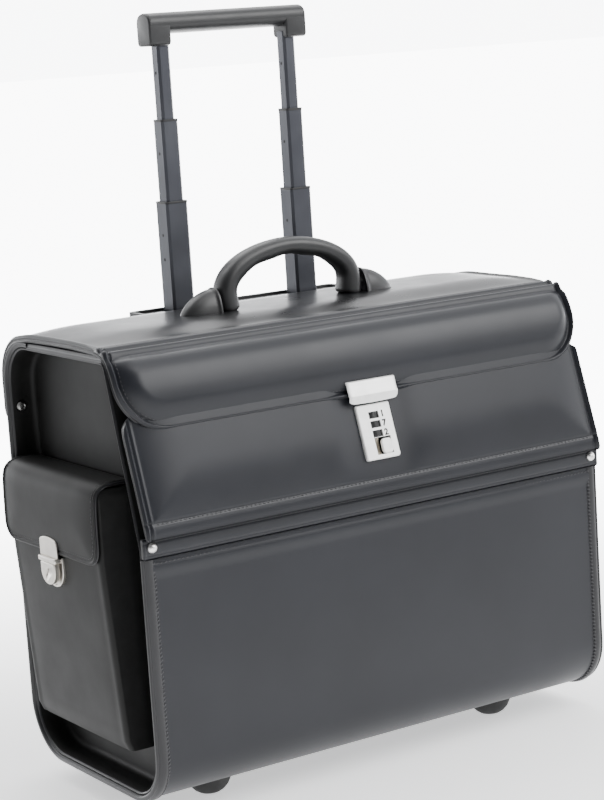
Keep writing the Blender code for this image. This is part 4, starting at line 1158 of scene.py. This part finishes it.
def make_pocket(side, sign):
    body_low, body_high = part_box("pocket_body_" + side)
    low_y, high_y = body_low.y, body_high.y
    centre_y = (low_y + high_y) / 2

    # body: rounded box whose face tapers in towards the bottom
    rows = []
    steps = 26
    for k in range(steps + 1):
        z = 0.0600 + (0.2860 - 0.0600) * k / steps
        rows.append(z)
    bm = bmesh.new()
    rings = []
    for z in rows:
        face = 0.2410 + (0.2520 - 0.2410) * min(max((z - 0.063) / 0.157, 0), 1)
        foot = min((z - 0.0600) / 0.004, 1)
        face -= 0.0035 * (1 - foot) ** 2
        bulge = 0.0016 * math.sin(math.pi * (z - 0.06) / 0.226)
        corner = 0.0045
        profile = [(0.2153, low_y)]
        profile += [(0.2153 + (face - 0.2153 - corner) * share, low_y - 0.0003)
                    for share in (0.35, 0.7)]
        profile += [(face - corner + corner * math.sin(a), low_y + corner - corner * math.cos(a))
                    for a in (0, 0.35, 0.75, 1.2, 1.5708)]
        for share in (0.015, 0.03, 0.06, 0.15, 0.3, 0.5, 0.7, 0.85, 0.94, 0.97, 0.985):
            y = low_y + corner + (high_y - low_y - 2 * corner) * share
            near = min(share, 1 - share)
            groove = -0.0005 if 0.02 < near < 0.04 else 0.0
            profile.append((face + groove + bulge * math.sin(math.pi * share) ** 0.6, y))
        profile += [(face - corner + corner * math.cos(a),
                     high_y - corner + corner * math.sin(a))
                    for a in (0, 0.35, 0.75, 1.2, 1.5708)]
        profile += [(0.2153 + (face - 0.2153 - corner) * share, high_y + 0.0003)
                    for share in (0.7, 0.35)]
        profile.append((0.2153, high_y))
        rings.append([bm.verts.new((sign * x, y, z)) for x, y in profile])
    for one, two in zip(rings, rings[1:]):
        for k in range(len(one) - 1):
            bm.faces.new((one[k], one[k + 1], two[k + 1], two[k]))
    bm.faces.new(rings[0])
    bmesh.ops.triangulate(bm, faces=[face for face in bm.faces if len(face.verts) > 4])
    bmesh.ops.recalc_face_normals(bm, faces=bm.faces)
    # Faces pointing along Y, the pocket's front and back sides, get the near-black gusset cloth: partly a dark
    # gusset, partly painted shade.
    for face in bm.faces:
        if abs(face.normal.y) > 0.9:
            face.material_index = 1
    # The pocket body wears the darker leather copy: painted shade.
    body = add("pocket_leather_" + side, bm, SHADED_END_LEATHER, GUSSET_CLOTH_AND_SHADE, LINING)
    mod = body.modifiers.new("wall", "SOLIDIFY")
    mod.thickness = 0.0022
    mod.offset = -1
    mod.material_offset = 2
    mod.material_offset_rim = 0
    apply(body)
    settle(body, "case", "leather", "pocket_body_" + side)

    route = pocket_route(sign)
    low = centre_y - 0.0845
    high = centre_y + 0.0845
    virtual = Panel((low, -0.2), (high, route.length), 0.001, 0.016, None, None)

    def lift(d, u, v):
        d = max(virtual.edge_distance(u, v)[0], 0)
        height = bump(d, 0.0013, 0.0015, 0.0007) - bump(d, 0.0033, 0.0011, 0.0005)
        share = min(max((v - 0.02) / 0.085, 0), 1)
        return height + swell(d, 0.005, 0.030, 0.0030) * math.sin(math.pi * share) ** 0.5 \
            if 0 < share < 1 else height

    def lay(u, v, h):
        point, normal = route.frame(v)
        return (sign * (point.x + normal.x * h), u, point.y + normal.y * h)

    rim = ((0.0001, -0.0006), (-0.0004, -0.0013), (-0.0002, -0.0018), (0.0003, -0.0023),
           (0.0, -0.0029))
    panel = Panel((low, 0), (high, route.length), 0.0010, 0.016, lift, lay, rim)
    # The flap wears the darker leather copy: painted shade.
    flap = panel.mesh("pocket_flap_leather_" + side, SHADED_END_LEATHER, EDGE, LINING, step=0.0045,
                      edge=0.007, fine=0.0007)
    settle(flap, "pocket_flap_" + side, "leather", "pocket_flap_" + side)
    bm = bmesh.new()
    panel.stitches(bm, virtual.border(0.0052, "LTR"), 0.0001, 0.0034, 0.0024, 0.00026)
    settle(add("pocket_flap_stitches_" + side, bm, THREAD), "pocket_flap_" + side,
           "leather")
    make_tuck_lock(side, sign, centre_y)


def make_tuck_lock(side, sign, centre):
    """Tongue on the flap; cross bar, keyhole nose and rimmed backplate below."""

    def at(a, b, out):
        return Vector((sign * (0.2566 + out), centre + a, b))

    def bowl(half, top, low, steps=18):
        """U outline: straight top at half width, round below."""
        middle = low + half * 0.92
        points = [(-half, top)]
        points += [(half * math.cos(t), middle + (middle - low) * math.sin(t))
                   for t in [math.pi * (1 + k / steps) for k in range(steps + 1)]]
        return points + [(half, top)]

    tongue = [(-0.0152, 0.2184), (0.0152, 0.2184), (0.0152, 0.2316)]
    tongue += [(0.0152 * math.cos(t), 0.2316 + 0.0042 * math.sin(t))
               for t in (0.2, 0.5, 0.9, 1.25, 1.5708, 1.89, 2.24, 2.64, 2.94)]
    tongue += [(-0.0152, 0.2316)]
    piece = extrude("tuck_tongue_" + side, tongue, lambda a, b, d: at(a, b, 0.0024 - d),
                    0.0022, WARM)
    bevelled(piece, 0.0007, 3)
    settle(piece, "pocket_flap_" + side, "nickel", "flap_tongue_" + side)

    piece = extrude("tuck_plate_" + side, bowl(0.0165, 0.2188, 0.1912),
                    lambda a, b, d: at(a, b, -0.0020 - d), 0.0034, WARM)
    trough = extrude("hole", bowl(0.0146, 0.2218, 0.1930),
                     lambda a, b, d: at(a, b, 0.02 - d), 0.0238)
    cut(piece, trough)
    bevelled(piece, 0.0005, 2)
    settle(piece, "case", "nickel", "pocket_lock_" + side)

    bar = [(-0.0152, 0.2140), (0.0152, 0.2140), (0.0152, 0.2186), (-0.0152, 0.2186)]
    piece = extrude("tuck_bar_" + side, bar, lambda a, b, d: at(a, b, 0.0050 - d),
                    0.0092, WARM)
    bevelled(piece, 0.0013, 3)
    settle(piece, "case", "nickel")

    piece = extrude("tuck_nose_" + side, bowl(0.0125, 0.2138, 0.1943),
                    lambda a, b, d: at(a, b, 0.0043 - d), 0.0058, WARM)
    bevelled(piece, 0.0012, 3)
    keyhole = [(0.0017 * math.cos(t), 0.2078 + 0.0017 * math.sin(t))
               for t in [math.pi * (k / 8 - 0.25) for k in range(13)]]
    keyhole += [(-0.0009, 0.2013), (0.0009, 0.2013)]
    lean = 0.35
    keyhole = [(a * math.cos(lean) - (b - 0.205) * math.sin(lean),
                0.205 + a * math.sin(lean) + (b - 0.205) * math.cos(lean))
               for a, b in keyhole]
    cut(piece, extrude("hole", keyhole, lambda a, b, d: at(a, b, 0.02 - d), 0.0175))
    settle(piece, "pocket_slider_" + side, "nickel", "pocket_lock_slider_" + side)


# ----------------------------------------------------------------- carry handle

def make_handle():
    """Broad moulded arch: wide flat legs at the mounts, rounder at its crown."""
    pin = Vector(JOINTS["carry_handle_hinge"]["pos_m"])
    steps, around = 84, 32
    route = [Vector((-0.0660, pin.z - 0.0095)), Vector((-0.0665, pin.z - 0.004)),
             Vector((-0.0668, pin.z + 0.0005))]
    for k in range(steps + 1):
        angle = math.pi * k / steps
        route.append(Vector((-0.0668 * math.cos(angle) * abs(math.cos(angle)) ** 0.08,
                             pin.z + 0.004 + (0.4562 - pin.z - 0.004)
                             * abs(math.sin(angle)) ** 0.88)) if 0 < k < steps else
                     Vector((-0.0668 if k == 0 else 0.0668, pin.z + 0.004)))
    route += [Vector((0.0668, pin.z + 0.0005)), Vector((0.0665, pin.z - 0.004)),
              Vector((0.0660, pin.z - 0.0095))]
    line = Path([tuple(point) for point in route], side=-1)
    bm = bmesh.new()
    rings = []
    stations = 110
    for k in range(stations + 1):
        s = line.length * k / stations
        point, out = line.frame(s, 0.004)
        middle = math.sin(math.pi * k / stations) ** 0.8
        end = min(k, stations - k) / stations * line.length
        tip = min(end / 0.004, 1)
        tip = math.sqrt(max(1 - (1 - tip) ** 2, 0.12))
        grip = 0.0006 * math.cos(10 * math.pi * (k / stations - 0.5)) * middle
        outer = (0.0090 - 0.0008 * middle) * tip
        inner = (0.0118 - 0.0040 * middle - grip) * tip
        width = (0.0128 - 0.0026 * middle) * (0.75 + 0.25 * tip)
        ring = []
        for j in range(around):
            turn = 2 * math.pi * j / around
            c, t = math.cos(turn), math.sin(turn)
            b = width * math.copysign(abs(c) ** 0.74, c)
            a = (outer if t > 0 else inner) * math.copysign(abs(t) ** 0.86, t)
            ring.append(bm.verts.new((point.x + out.x * a, pin.y + b,
                                      point.y + out.y * a)))
        rings.append(ring)
    for one, two in zip(rings, rings[1:]):
        for j in range(around):
            after = (j + 1) % around
            bm.faces.new((one[j], one[after], two[after], two[j]))
    bm.faces.new(rings[0])
    bm.faces.new(rings[-1])
    bmesh.ops.recalc_face_normals(bm, faces=bm.faces)
    arch = add("handle_arch", bm, PLASTIC, angle=50)
    settle(arch, "handle", "plastic", "carry_handle")
    for side, sign in SIDES:
        make_mount(side, sign, pin)


def handle_point(angle, pin):
    x = -0.0675 * math.copysign(abs(math.cos(angle)) ** 0.85, math.cos(angle))
    z = pin.z + 0.003 + (0.4565 - pin.z - 0.003) * abs(math.sin(angle)) ** 0.75
    return x, z


def make_mount(side, sign, pin):
    """Half-dome shell over the pin, with a raised lip on its open side and foot."""
    low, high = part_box("handle_mount_" + side)
    inner, outer = 0.0774, 0.1142
    base = low.z - 0.0010
    top = 0.4272
    bm = bmesh.new()
    around = 26
    stations = [(0.0, 0.0008), (0.03, 0.0010), (0.055, 0.0009), (0.075, 0.0)]
    stations += [(0.075 + 0.925 * (k / 16) ** 0.9, 0.0) for k in range(1, 17)]
    rings = []
    for t, lip in stations:
        t = min(t, 0.9995)
        width = 0.0138 * (1 - t ** 2.6) ** 0.5 + lip
        height = (top - base) * (1 - t ** 1.9) ** 0.62 + lip
        ring = []
        for j in range(around + 1):
            turn = math.pi * j / around
            c, s = math.cos(turn), math.sin(turn)
            y = width * math.copysign(abs(c) ** 0.80, c)
            z = base + height * abs(s) ** 0.90
            ring.append(bm.verts.new((sign * (inner + (outer - inner) * t), pin.y + y, z)))
        rings.append(ring)
    for one, two in zip(rings, rings[1:]):
        for j in range(around):
            bm.faces.new((one[j], one[j + 1], two[j + 1], two[j]))
    bm.faces.new(rings[0])
    bm.faces.new(rings[-1])
    for one, two in zip(rings, rings[1:]):
        bm.faces.new((one[0], two[0], two[-1], one[-1]))
    bmesh.ops.recalc_face_normals(bm, faces=bm.faces)
    mount = add("handle_mount_dome_" + side, bm, PLASTIC, angle=50)
    bore = rod("hole", 0.0028, 0.030, (sign * inner, pin.y, pin.z), (1, 0, 0))
    cut(mount, bore)
    settle(mount, "lid", "plastic", "handle_mount_" + side)
    outline = []
    for k in range(40):
        turn = 2 * math.pi * k / 40
        c = math.cos(turn)
        x = inner - 0.0012 if c < -0.2 else inner + (outer - inner + 0.0016) * max(c, 0) ** 0.8
        outline.append((x, 0.0152 * math.sin(turn) if c > -0.2 else
                        0.0150 * math.copysign(min(abs(math.sin(turn)) * 1.3, 1),
                                               math.sin(turn))))
    bm = bmesh.new()
    flat = []
    for x, y in outline:
        flat.append(bm.verts.new((sign * x, pin.y + y, 0.4052)))
    foot = [bm.verts.new((v.co.x, v.co.y, 0.3995)) for v in flat]
    bm.faces.new(flat)
    bm.faces.new(list(reversed(foot)))
    for k in range(40):
        after = (k + 1) % 40
        bm.faces.new((flat[k], foot[k], foot[after], flat[after]))
    bmesh.ops.recalc_face_normals(bm, faces=bm.faces)
    skirt = add("handle_mount_skirt_" + side, bm, PLASTIC)
    bevelled(skirt, 0.0007, 2, 50)
    settle(skirt, "lid", "plastic")


# ------------------------------------------------------------------- trolley

def make_trolley():
    """Collars on the tubes, and flat dark discs painted as the shade of detent holes; the tubes themselves are the
    CAD's.
    """
    for stage, share in ((1, 0.0002), (2, 0.0002)):
        for side, _ in SIDES:
            low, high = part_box("stage%d_tube_%s" % (stage, side))
            collar = extrude(
                "tube_collar_%d_%s" % (stage, side),
                rounded(low.x - share, high.x + share, low.y - share, high.y + share,
                        0.0030, steps=5),
                lambda a, b, d, z=high.z: Vector((a, b, z + 0.0006 - d)), 0.0022,
                BEZEL_LOOK)
            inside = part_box("stage%d_tube_%s" % (stage + 1, side))
            hole = block("hole", (inside[0].x - 0.0005, inside[0].y - 0.0005, high.z - 0.1),
                         (inside[1].x + 0.0005, inside[1].y + 0.0005, high.z + 0.1))
            cut(collar, hole)
            bevelled(collar, 0.0005, 2, 40)
            settle(collar, "stage%d" % stage, "plastic")
    # Detent holes: flat dark discs just proud of the tube, painted shade in place of real holes.
    disc = [(0.0, 0.0001), (0.0014, 0.0001), (0.0016, -0.0003), (0.0, -0.0003)]
    for stage, drops in ((1, (0.030, 0.052)), (2, (0.030,)), (3, (0.030,))):
        for side, _ in SIDES:
            low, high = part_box("stage%d_tube_%s" % (stage, side))
            for number, drop in enumerate(drops):
                for face, x, out in (("a", low.x, -1), ("b", high.x, 1)):
                    centre = (x, (low.y + high.y) / 2, high.z - drop)
                    hole = lathe("detent_%d_%s_%s%d" % (stage, side, face, number), disc,
                                 centre, (out, 0, 0), HOLE_SHADE_AND_FIGURES, steps=20)
                    settle(hole, "stage%d" % stage, "plastic")


def make_grip():
    """A round bar whose D-shaped ends run down into a block over each tube."""
    low, high = GRIP_LOW, GRIP_HIGH
    mid_y = (low.y + high.y) / 2
    half, bar_z = 0.0122, high.z - 0.0100

    def outline(bottom):
        less = 0.0 if bottom is None else 0.0002
        points = [(mid_y + (half - less) * math.copysign(abs(math.cos(t)) ** 0.85,
                                                         math.cos(t)),
                   bar_z + (0.0100 - less) * math.sin(t) ** 0.85)
                  for t in [math.pi * k / 24 for k in range(25)]]
        if bottom is None:
            return points + [(mid_y - half * math.cos(t), bar_z - 0.0092 * math.sin(t))
                             for t in [math.pi * k / 24 for k in range(1, 24)]]
        points += arc(mid_y - half + 0.0042, bottom + 0.004, 0.004, 180, 270, 6)
        return points + arc(mid_y + half - 0.0042, bottom + 0.004, 0.004, 270, 360, 6)

    bar = extrude("grip_bar", outline(None), lambda a, b, d: Vector((-0.0815 + d, a, b)),
                  0.1630, PLASTIC)
    bar.data.shade_smooth()
    settle(bar, "stage3", "plastic", "trolley_grip")
    for side, sign in SIDES:
        piece = extrude("grip_end_" + side, outline(low.z - 0.0005),
                        lambda a, b, d: Vector((sign * (0.0615 + d), a, b)), 0.0220,
                        PLASTIC)
        bevelled(piece, 0.0018, 4, 40)
        piece.data.shade_smooth()
        piece.data.set_sharp_from_angle(angle=math.radians(40))
        settle(piece, "stage3", "plastic")


def grip_bottom(reach, low):
    """Underside of the grip: bar in the middle, legs over the tubes."""
    inner = 0.0530
    if reach < inner - 0.004:
        return 0.6508
    if reach < inner + 0.001:
        share = (reach - inner + 0.004) / 0.005
        return 0.6508 + (low - 0.6508) * share * share * (3 - 2 * share)
    return low


def make_bezel():
    """Moulded frame around the tubes where they leave the case."""
    low, high = BEZEL_LOW, BEZEL_HIGH
    outline = rounded(low.x, high.x, low.y, high.y, 0.006, steps=6)
    top = high.z + 0.0004
    frame_piece = extrude("bezel_frame", outline,
                          lambda a, b, d: Vector((a, b, top - d)), top - low.z,
                          BEZEL_LOOK)
    holes = []
    for side, sign in SIDES:
        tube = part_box("stage1_tube_" + side)
        holes.append(block("hole", (tube[0].x - 0.0010, tube[0].y - 0.0010, 0.30),
                           (tube[1].x + 0.0010, tube[1].y + 0.0010, 0.45)))
    pan = extrude("hole", rounded(low.x + 0.0040, high.x - 0.0040, low.y + 0.0035,
                                  high.y - 0.0035, 0.004, steps=5),
                  lambda a, b, d: Vector((a, b, top + 0.01 - d)), 0.0125)
    cut(frame_piece, *holes, pan)
    bevelled(frame_piece, 0.0010, 2, 50)
    settle(frame_piece, "case", "plastic", "trolley_bezel")


# -------------------------------------------------------------- wheels and feet

def make_feet():
    for side, sign in SIDES:
        low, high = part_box("foot_front_" + side)
        centre = (low + high) / 2
        profile = [(0.0, high.z), (0.0185, high.z), (0.0200, high.z - 0.0010),
                   (0.0200, 0.0150), (0.0192, 0.0120), (0.0170, 0.0072),
                   (0.0135, 0.0032), (0.0098, 0.0008), (0.0070, 0.0), (0.0040, 0.0),
                   (0.0034, 0.0010), (0.0, 0.0010)]
        foot = lathe("foot_rubber_" + side, profile, (centre.x, centre.y, 0), (0, 0, 1),
                     RUBBER, steps=64)
        settle(foot, "case", "rubber", "foot_front_" + side)
        low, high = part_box("wheel_" + side)
        centre = (low + high) / 2
        tyre = [(0.0030, 0.0098), (0.0070, 0.0098), (0.0082, 0.0082), (0.0160, 0.0080),
                (0.0172, 0.0096), (0.0215, 0.0099), (0.0236, 0.0088), (0.0246, 0.0068),
                (0.0250, 0.0040), (0.0248, 0.0014), (0.0248, -0.0014), (0.0250, -0.0040),
                (0.0246, -0.0068), (0.0236, -0.0088), (0.0215, -0.0099),
                (0.0172, -0.0096), (0.0160, -0.0080), (0.0082, -0.0082),
                (0.0070, -0.0098), (0.0030, -0.0098)]
        wheel = lathe("wheel_tyre_" + side, tyre, centre, (1, 0, 0), RUBBER, steps=72)
        settle(wheel, "wheel_" + side, "rubber", "wheel_" + side)


# --------------------------------------------------------------------- interior

def make_interior():
    for name, node, thick, slot in (("divider_pad", "divider", 0.0040, "lining"),):
        low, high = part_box(node)
        middle = (low.y + high.y) / 2

        def lift(d, u, v):
            return swell(d, 0.006, 0.03, 0.0) + bump(d, 0.0030, 0.0030, 0.0004)

        def lay(u, v, h):
            return (u, low.y - h, v)

        rim = ((0.0, -0.0012), (0.0, -0.0028), (-0.0004, -(high.y - low.y)))
        panel = Panel((low.x, low.z), (high.x, high.z), 0.003, 0.010, lift, lay, rim)
        piece = panel.mesh(name, LINING, EDGE, LINING, step=0.02, edge=0.008, fine=0.0012)
        settle(piece, "case", slot, node)
        bm = bmesh.new()
        panel.stitches(bm, panel.border(0.0075, "LBRT"), 0.0001, 0.0045, 0.003)
        settle(add("divider_stitches", bm, THREAD), "case", "lining")
    low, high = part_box("base_board")

    def lift(d, u, v):
        return bump(d, 0.0030, 0.0030, 0.0004)

    def lay(u, v, h):
        return (u, v, high.z + h - 0.0004)

    rim = ((0.0, -0.0010), (0.0, -(high.z - low.z) + 0.0005))
    panel = Panel((low.x, low.y), (high.x, high.y), 0.003, 0.003, lift, lay, rim)
    settle(panel.mesh("base_board_cover", LINING, LINING, LINING, step=0.02, edge=0.008,
                      fine=0.0012), "case", "board", "base_board")
    bm = bmesh.new()
    panel.stitches(bm, panel.border(0.0075, "LBRT"), 0.0001, 0.0045, 0.003)
    settle(add("base_board_stitches", bm, THREAD), "case", "board")
    cover_low, cover_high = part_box("trolley_cover")

    def lay_cover(u, v, h):
        return (u, cover_low.y - h, v)

    rim = ((0.0, -0.0008), (0.0, -(cover_high.y - cover_low.y)))
    panel = Panel((cover_low.x, cover_low.z), (cover_high.x, cover_high.z), 0.003, 0.006,
                  lift, lay_cover, rim)
    settle(panel.mesh("trolley_cover_lining", LINING, LINING, LINING, step=0.02,
                      edge=0.008, fine=0.0012), "case", "board", "trolley_cover")
    bm = bmesh.new()
    panel.stitches(bm, panel.border(0.0075, "LBRT"), 0.0001, 0.0045, 0.003)
    settle(add("trolley_cover_stitches", bm, THREAD), "case", "board")


# ----------------------------------------------------------- camera and lights

def make_camera():
    """The camera that the object's rims, rivets and tubes were fitted to."""
    azimuth, elevation, roll = (math.radians(v) for v in (32.898, 9.734, -3.726))
    ahead = Vector((math.sin(azimuth) * math.cos(elevation),
                    math.cos(azimuth) * math.cos(elevation), -math.sin(elevation)))
    level = Vector((math.cos(azimuth), -math.sin(azimuth), 0))
    above = level.cross(ahead)
    right = level * math.cos(roll) + above * math.sin(roll)
    up = above * math.cos(roll) - level * math.sin(roll)
    data = bpy.data.cameras.new("camera")
    data.sensor_fit = "VERTICAL"
    data.sensor_height = 36.0
    data.lens = 99.35
    camera = bpy.data.objects.new("camera", data)
    bpy.context.scene.collection.objects.link(camera)
    turn = Matrix((right, up, -ahead)).transposed().to_4x4()
    camera.matrix_world = Matrix.Translation((-1.0665, -1.6413, 0.6538)) @ turn
    bpy.context.scene.camera = camera


def softbox(name, place_at, target, width, height, power, colour=(1, 1, 1)):
    data = bpy.data.lights.new(name, "AREA")
    data.shape = "RECTANGLE"
    data.size = width
    data.size_y = height
    data.energy = power
    data.color = colour
    light = bpy.data.objects.new(name, data)
    bpy.context.scene.collection.objects.link(light)
    light.location = place_at
    aim = Vector(target) - Vector(place_at)
    light.rotation_euler = aim.to_track_quat("-Z", "Y").to_euler()


def make_studio():
    bm = bmesh.new()
    bmesh.ops.create_grid(bm, x_segments=1, y_segments=1, size=30)
    floor = add("floor", bm)
    look = Look("floor_pale_painted_glow")
    look.colours(look.noise(0.8, 2), (0.86, 0.86, 0.86), (0.90, 0.90, 0.90))
    look.set(Roughness=0.7)
    tree = look.mat.node_tree
    shader = next(node for node in tree.nodes if node.type == "BSDF_PRINCIPLED")
    # Painted light: the floor glows though it is no lamp. Its emission is weak near the object and strongest
    # farther out, in a narrow wedge along the camera's line of sight measured from the camera's place, so the
    # backdrop reads white; it also lights the object's lower parts.
    shader.inputs["Emission Color"].default_value = (0.985, 0.99, 1.0, 1)
    coord = tree.nodes.new("ShaderNodeTexCoord")
    offset = tree.nodes.new("ShaderNodeVectorMath")
    offset.operation = "SUBTRACT"
    offset.inputs[1].default_value = (-1.0665, -1.6413, 0)
    tree.links.new(coord.outputs["Object"], offset.inputs[0])
    length = tree.nodes.new("ShaderNodeVectorMath")
    length.operation = "LENGTH"
    tree.links.new(offset.outputs["Vector"], length.inputs[0])
    unit = tree.nodes.new("ShaderNodeVectorMath")
    unit.operation = "NORMALIZE"
    tree.links.new(offset.outputs["Vector"], unit.inputs[0])
    away = tree.nodes.new("ShaderNodeVectorMath")
    away.operation = "DOT_PRODUCT"
    away.inputs[1].default_value = (0.5431, 0.8397, 0)
    tree.links.new(unit.outputs["Vector"], away.inputs[0])
    near = tree.nodes.new("ShaderNodeMapRange")
    near.interpolation_type = "SMOOTHSTEP"
    for name, value in (("From Min", 1.95), ("From Max", 3.6), ("To Min", 0.8),
                        ("To Max", 9.0)):
        near.inputs[name].default_value = value
    tree.links.new(length.outputs["Value"], near.inputs["Value"])
    glow_wedge = tree.nodes.new("ShaderNodeMapRange")
    glow_wedge.interpolation_type = "SMOOTHSTEP"
    for name, value in (("From Min", 0.962), ("From Max", 0.986)):
        glow_wedge.inputs[name].default_value = value
    tree.links.new(away.outputs["Value"], glow_wedge.inputs["Value"])
    product = tree.nodes.new("ShaderNodeMath")
    product.operation = "MULTIPLY"
    tree.links.new(near.outputs["Result"], product.inputs[0])
    tree.links.new(glow_wedge.outputs["Result"], product.inputs[1])
    tree.links.new(product.outputs["Value"], shader.inputs["Emission Strength"])
    floor.data.materials.append(look.mat)
    floor.location.z = -0.0002
    world = bpy.data.worlds.new("studio")
    bpy.context.scene.world = world
    world.use_nodes = True
    tree = world.node_tree
    background = tree.nodes["Background"]
    coord = tree.nodes.new("ShaderNodeTexCoord")
    away = tree.nodes.new("ShaderNodeVectorMath")
    away.operation = "DOT_PRODUCT"
    away.inputs[1].default_value = (0.60, 0.74, 0.32)
    tree.links.new(coord.outputs["Generated"], away.inputs[0])
    ramp = tree.nodes.new("ShaderNodeMapRange")
    ramp.interpolation_type = "SMOOTHSTEP"
    for name, value in (("From Min", -0.45), ("From Max", 0.66), ("To Min", 0.19),
                        ("To Max", 2.1)):
        ramp.inputs[name].default_value = value
    tree.links.new(away.outputs["Value"], ramp.inputs["Value"])
    split = tree.nodes.new("ShaderNodeSeparateXYZ")
    tree.links.new(coord.outputs["Generated"], split.inputs[0])
    low = tree.nodes.new("ShaderNodeMapRange")
    low.interpolation_type = "SMOOTHSTEP"
    for name, value in (("From Min", 0.115), ("From Max", 0.060), ("To Min", 1.0),
                        ("To Max", 4.2)):
        low.inputs[name].default_value = value
    tree.links.new(split.outputs["Z"], low.inputs["Value"])
    product = tree.nodes.new("ShaderNodeMath")
    product.operation = "MULTIPLY"
    tree.links.new(ramp.outputs["Result"], product.inputs[0])
    tree.links.new(low.outputs["Result"], product.inputs[1])
    tree.links.new(product.outputs["Value"], background.inputs["Strength"])
    background.inputs["Color"].default_value = (0.97, 0.98, 1.0, 1)
    softbox("key", (1.05, -1.60, 1.60), (0, -0.10, 0.33), 2.0, 1.2, 50)
    softbox("top", (0.1, 1.1, 2.2), (0, 0.0, 0.35), 2.4, 1.6, 34)
    softbox("front", (0.2, -1.35, 2.9), (0, -0.05, 0.34), 1.6, 1.0, 20)


make_camera()
make_studio()
make_shell()
make_binding()
make_trays()
make_apron()
make_lid()
make_front_panel()
make_strip()
make_rivets()
make_hasp()
make_dials()
make_digits()
for pocket_side, pocket_sign in SIDES:
    make_pocket(pocket_side, pocket_sign)
make_handle()
make_trolley()
make_grip()
make_bezel()
make_feet()
make_interior()

DEFAULTS = {"leather": LEATHER, "piping": EDGE, "board": LINING, "lining": LINING,
            "tube": ANODISED, "plastic": PLASTIC, "nickel": NICKEL, "rubber": RUBBER,
            "steel": STEEL}
for row in frame["record"]["subparts"]:
    mesh = NODES[row["node"]].data
    mesh.materials.clear()
    mesh.materials.append(PALE if row["node"] == "lock_plate"
                          else DEFAULTS[row["material_slot"]])
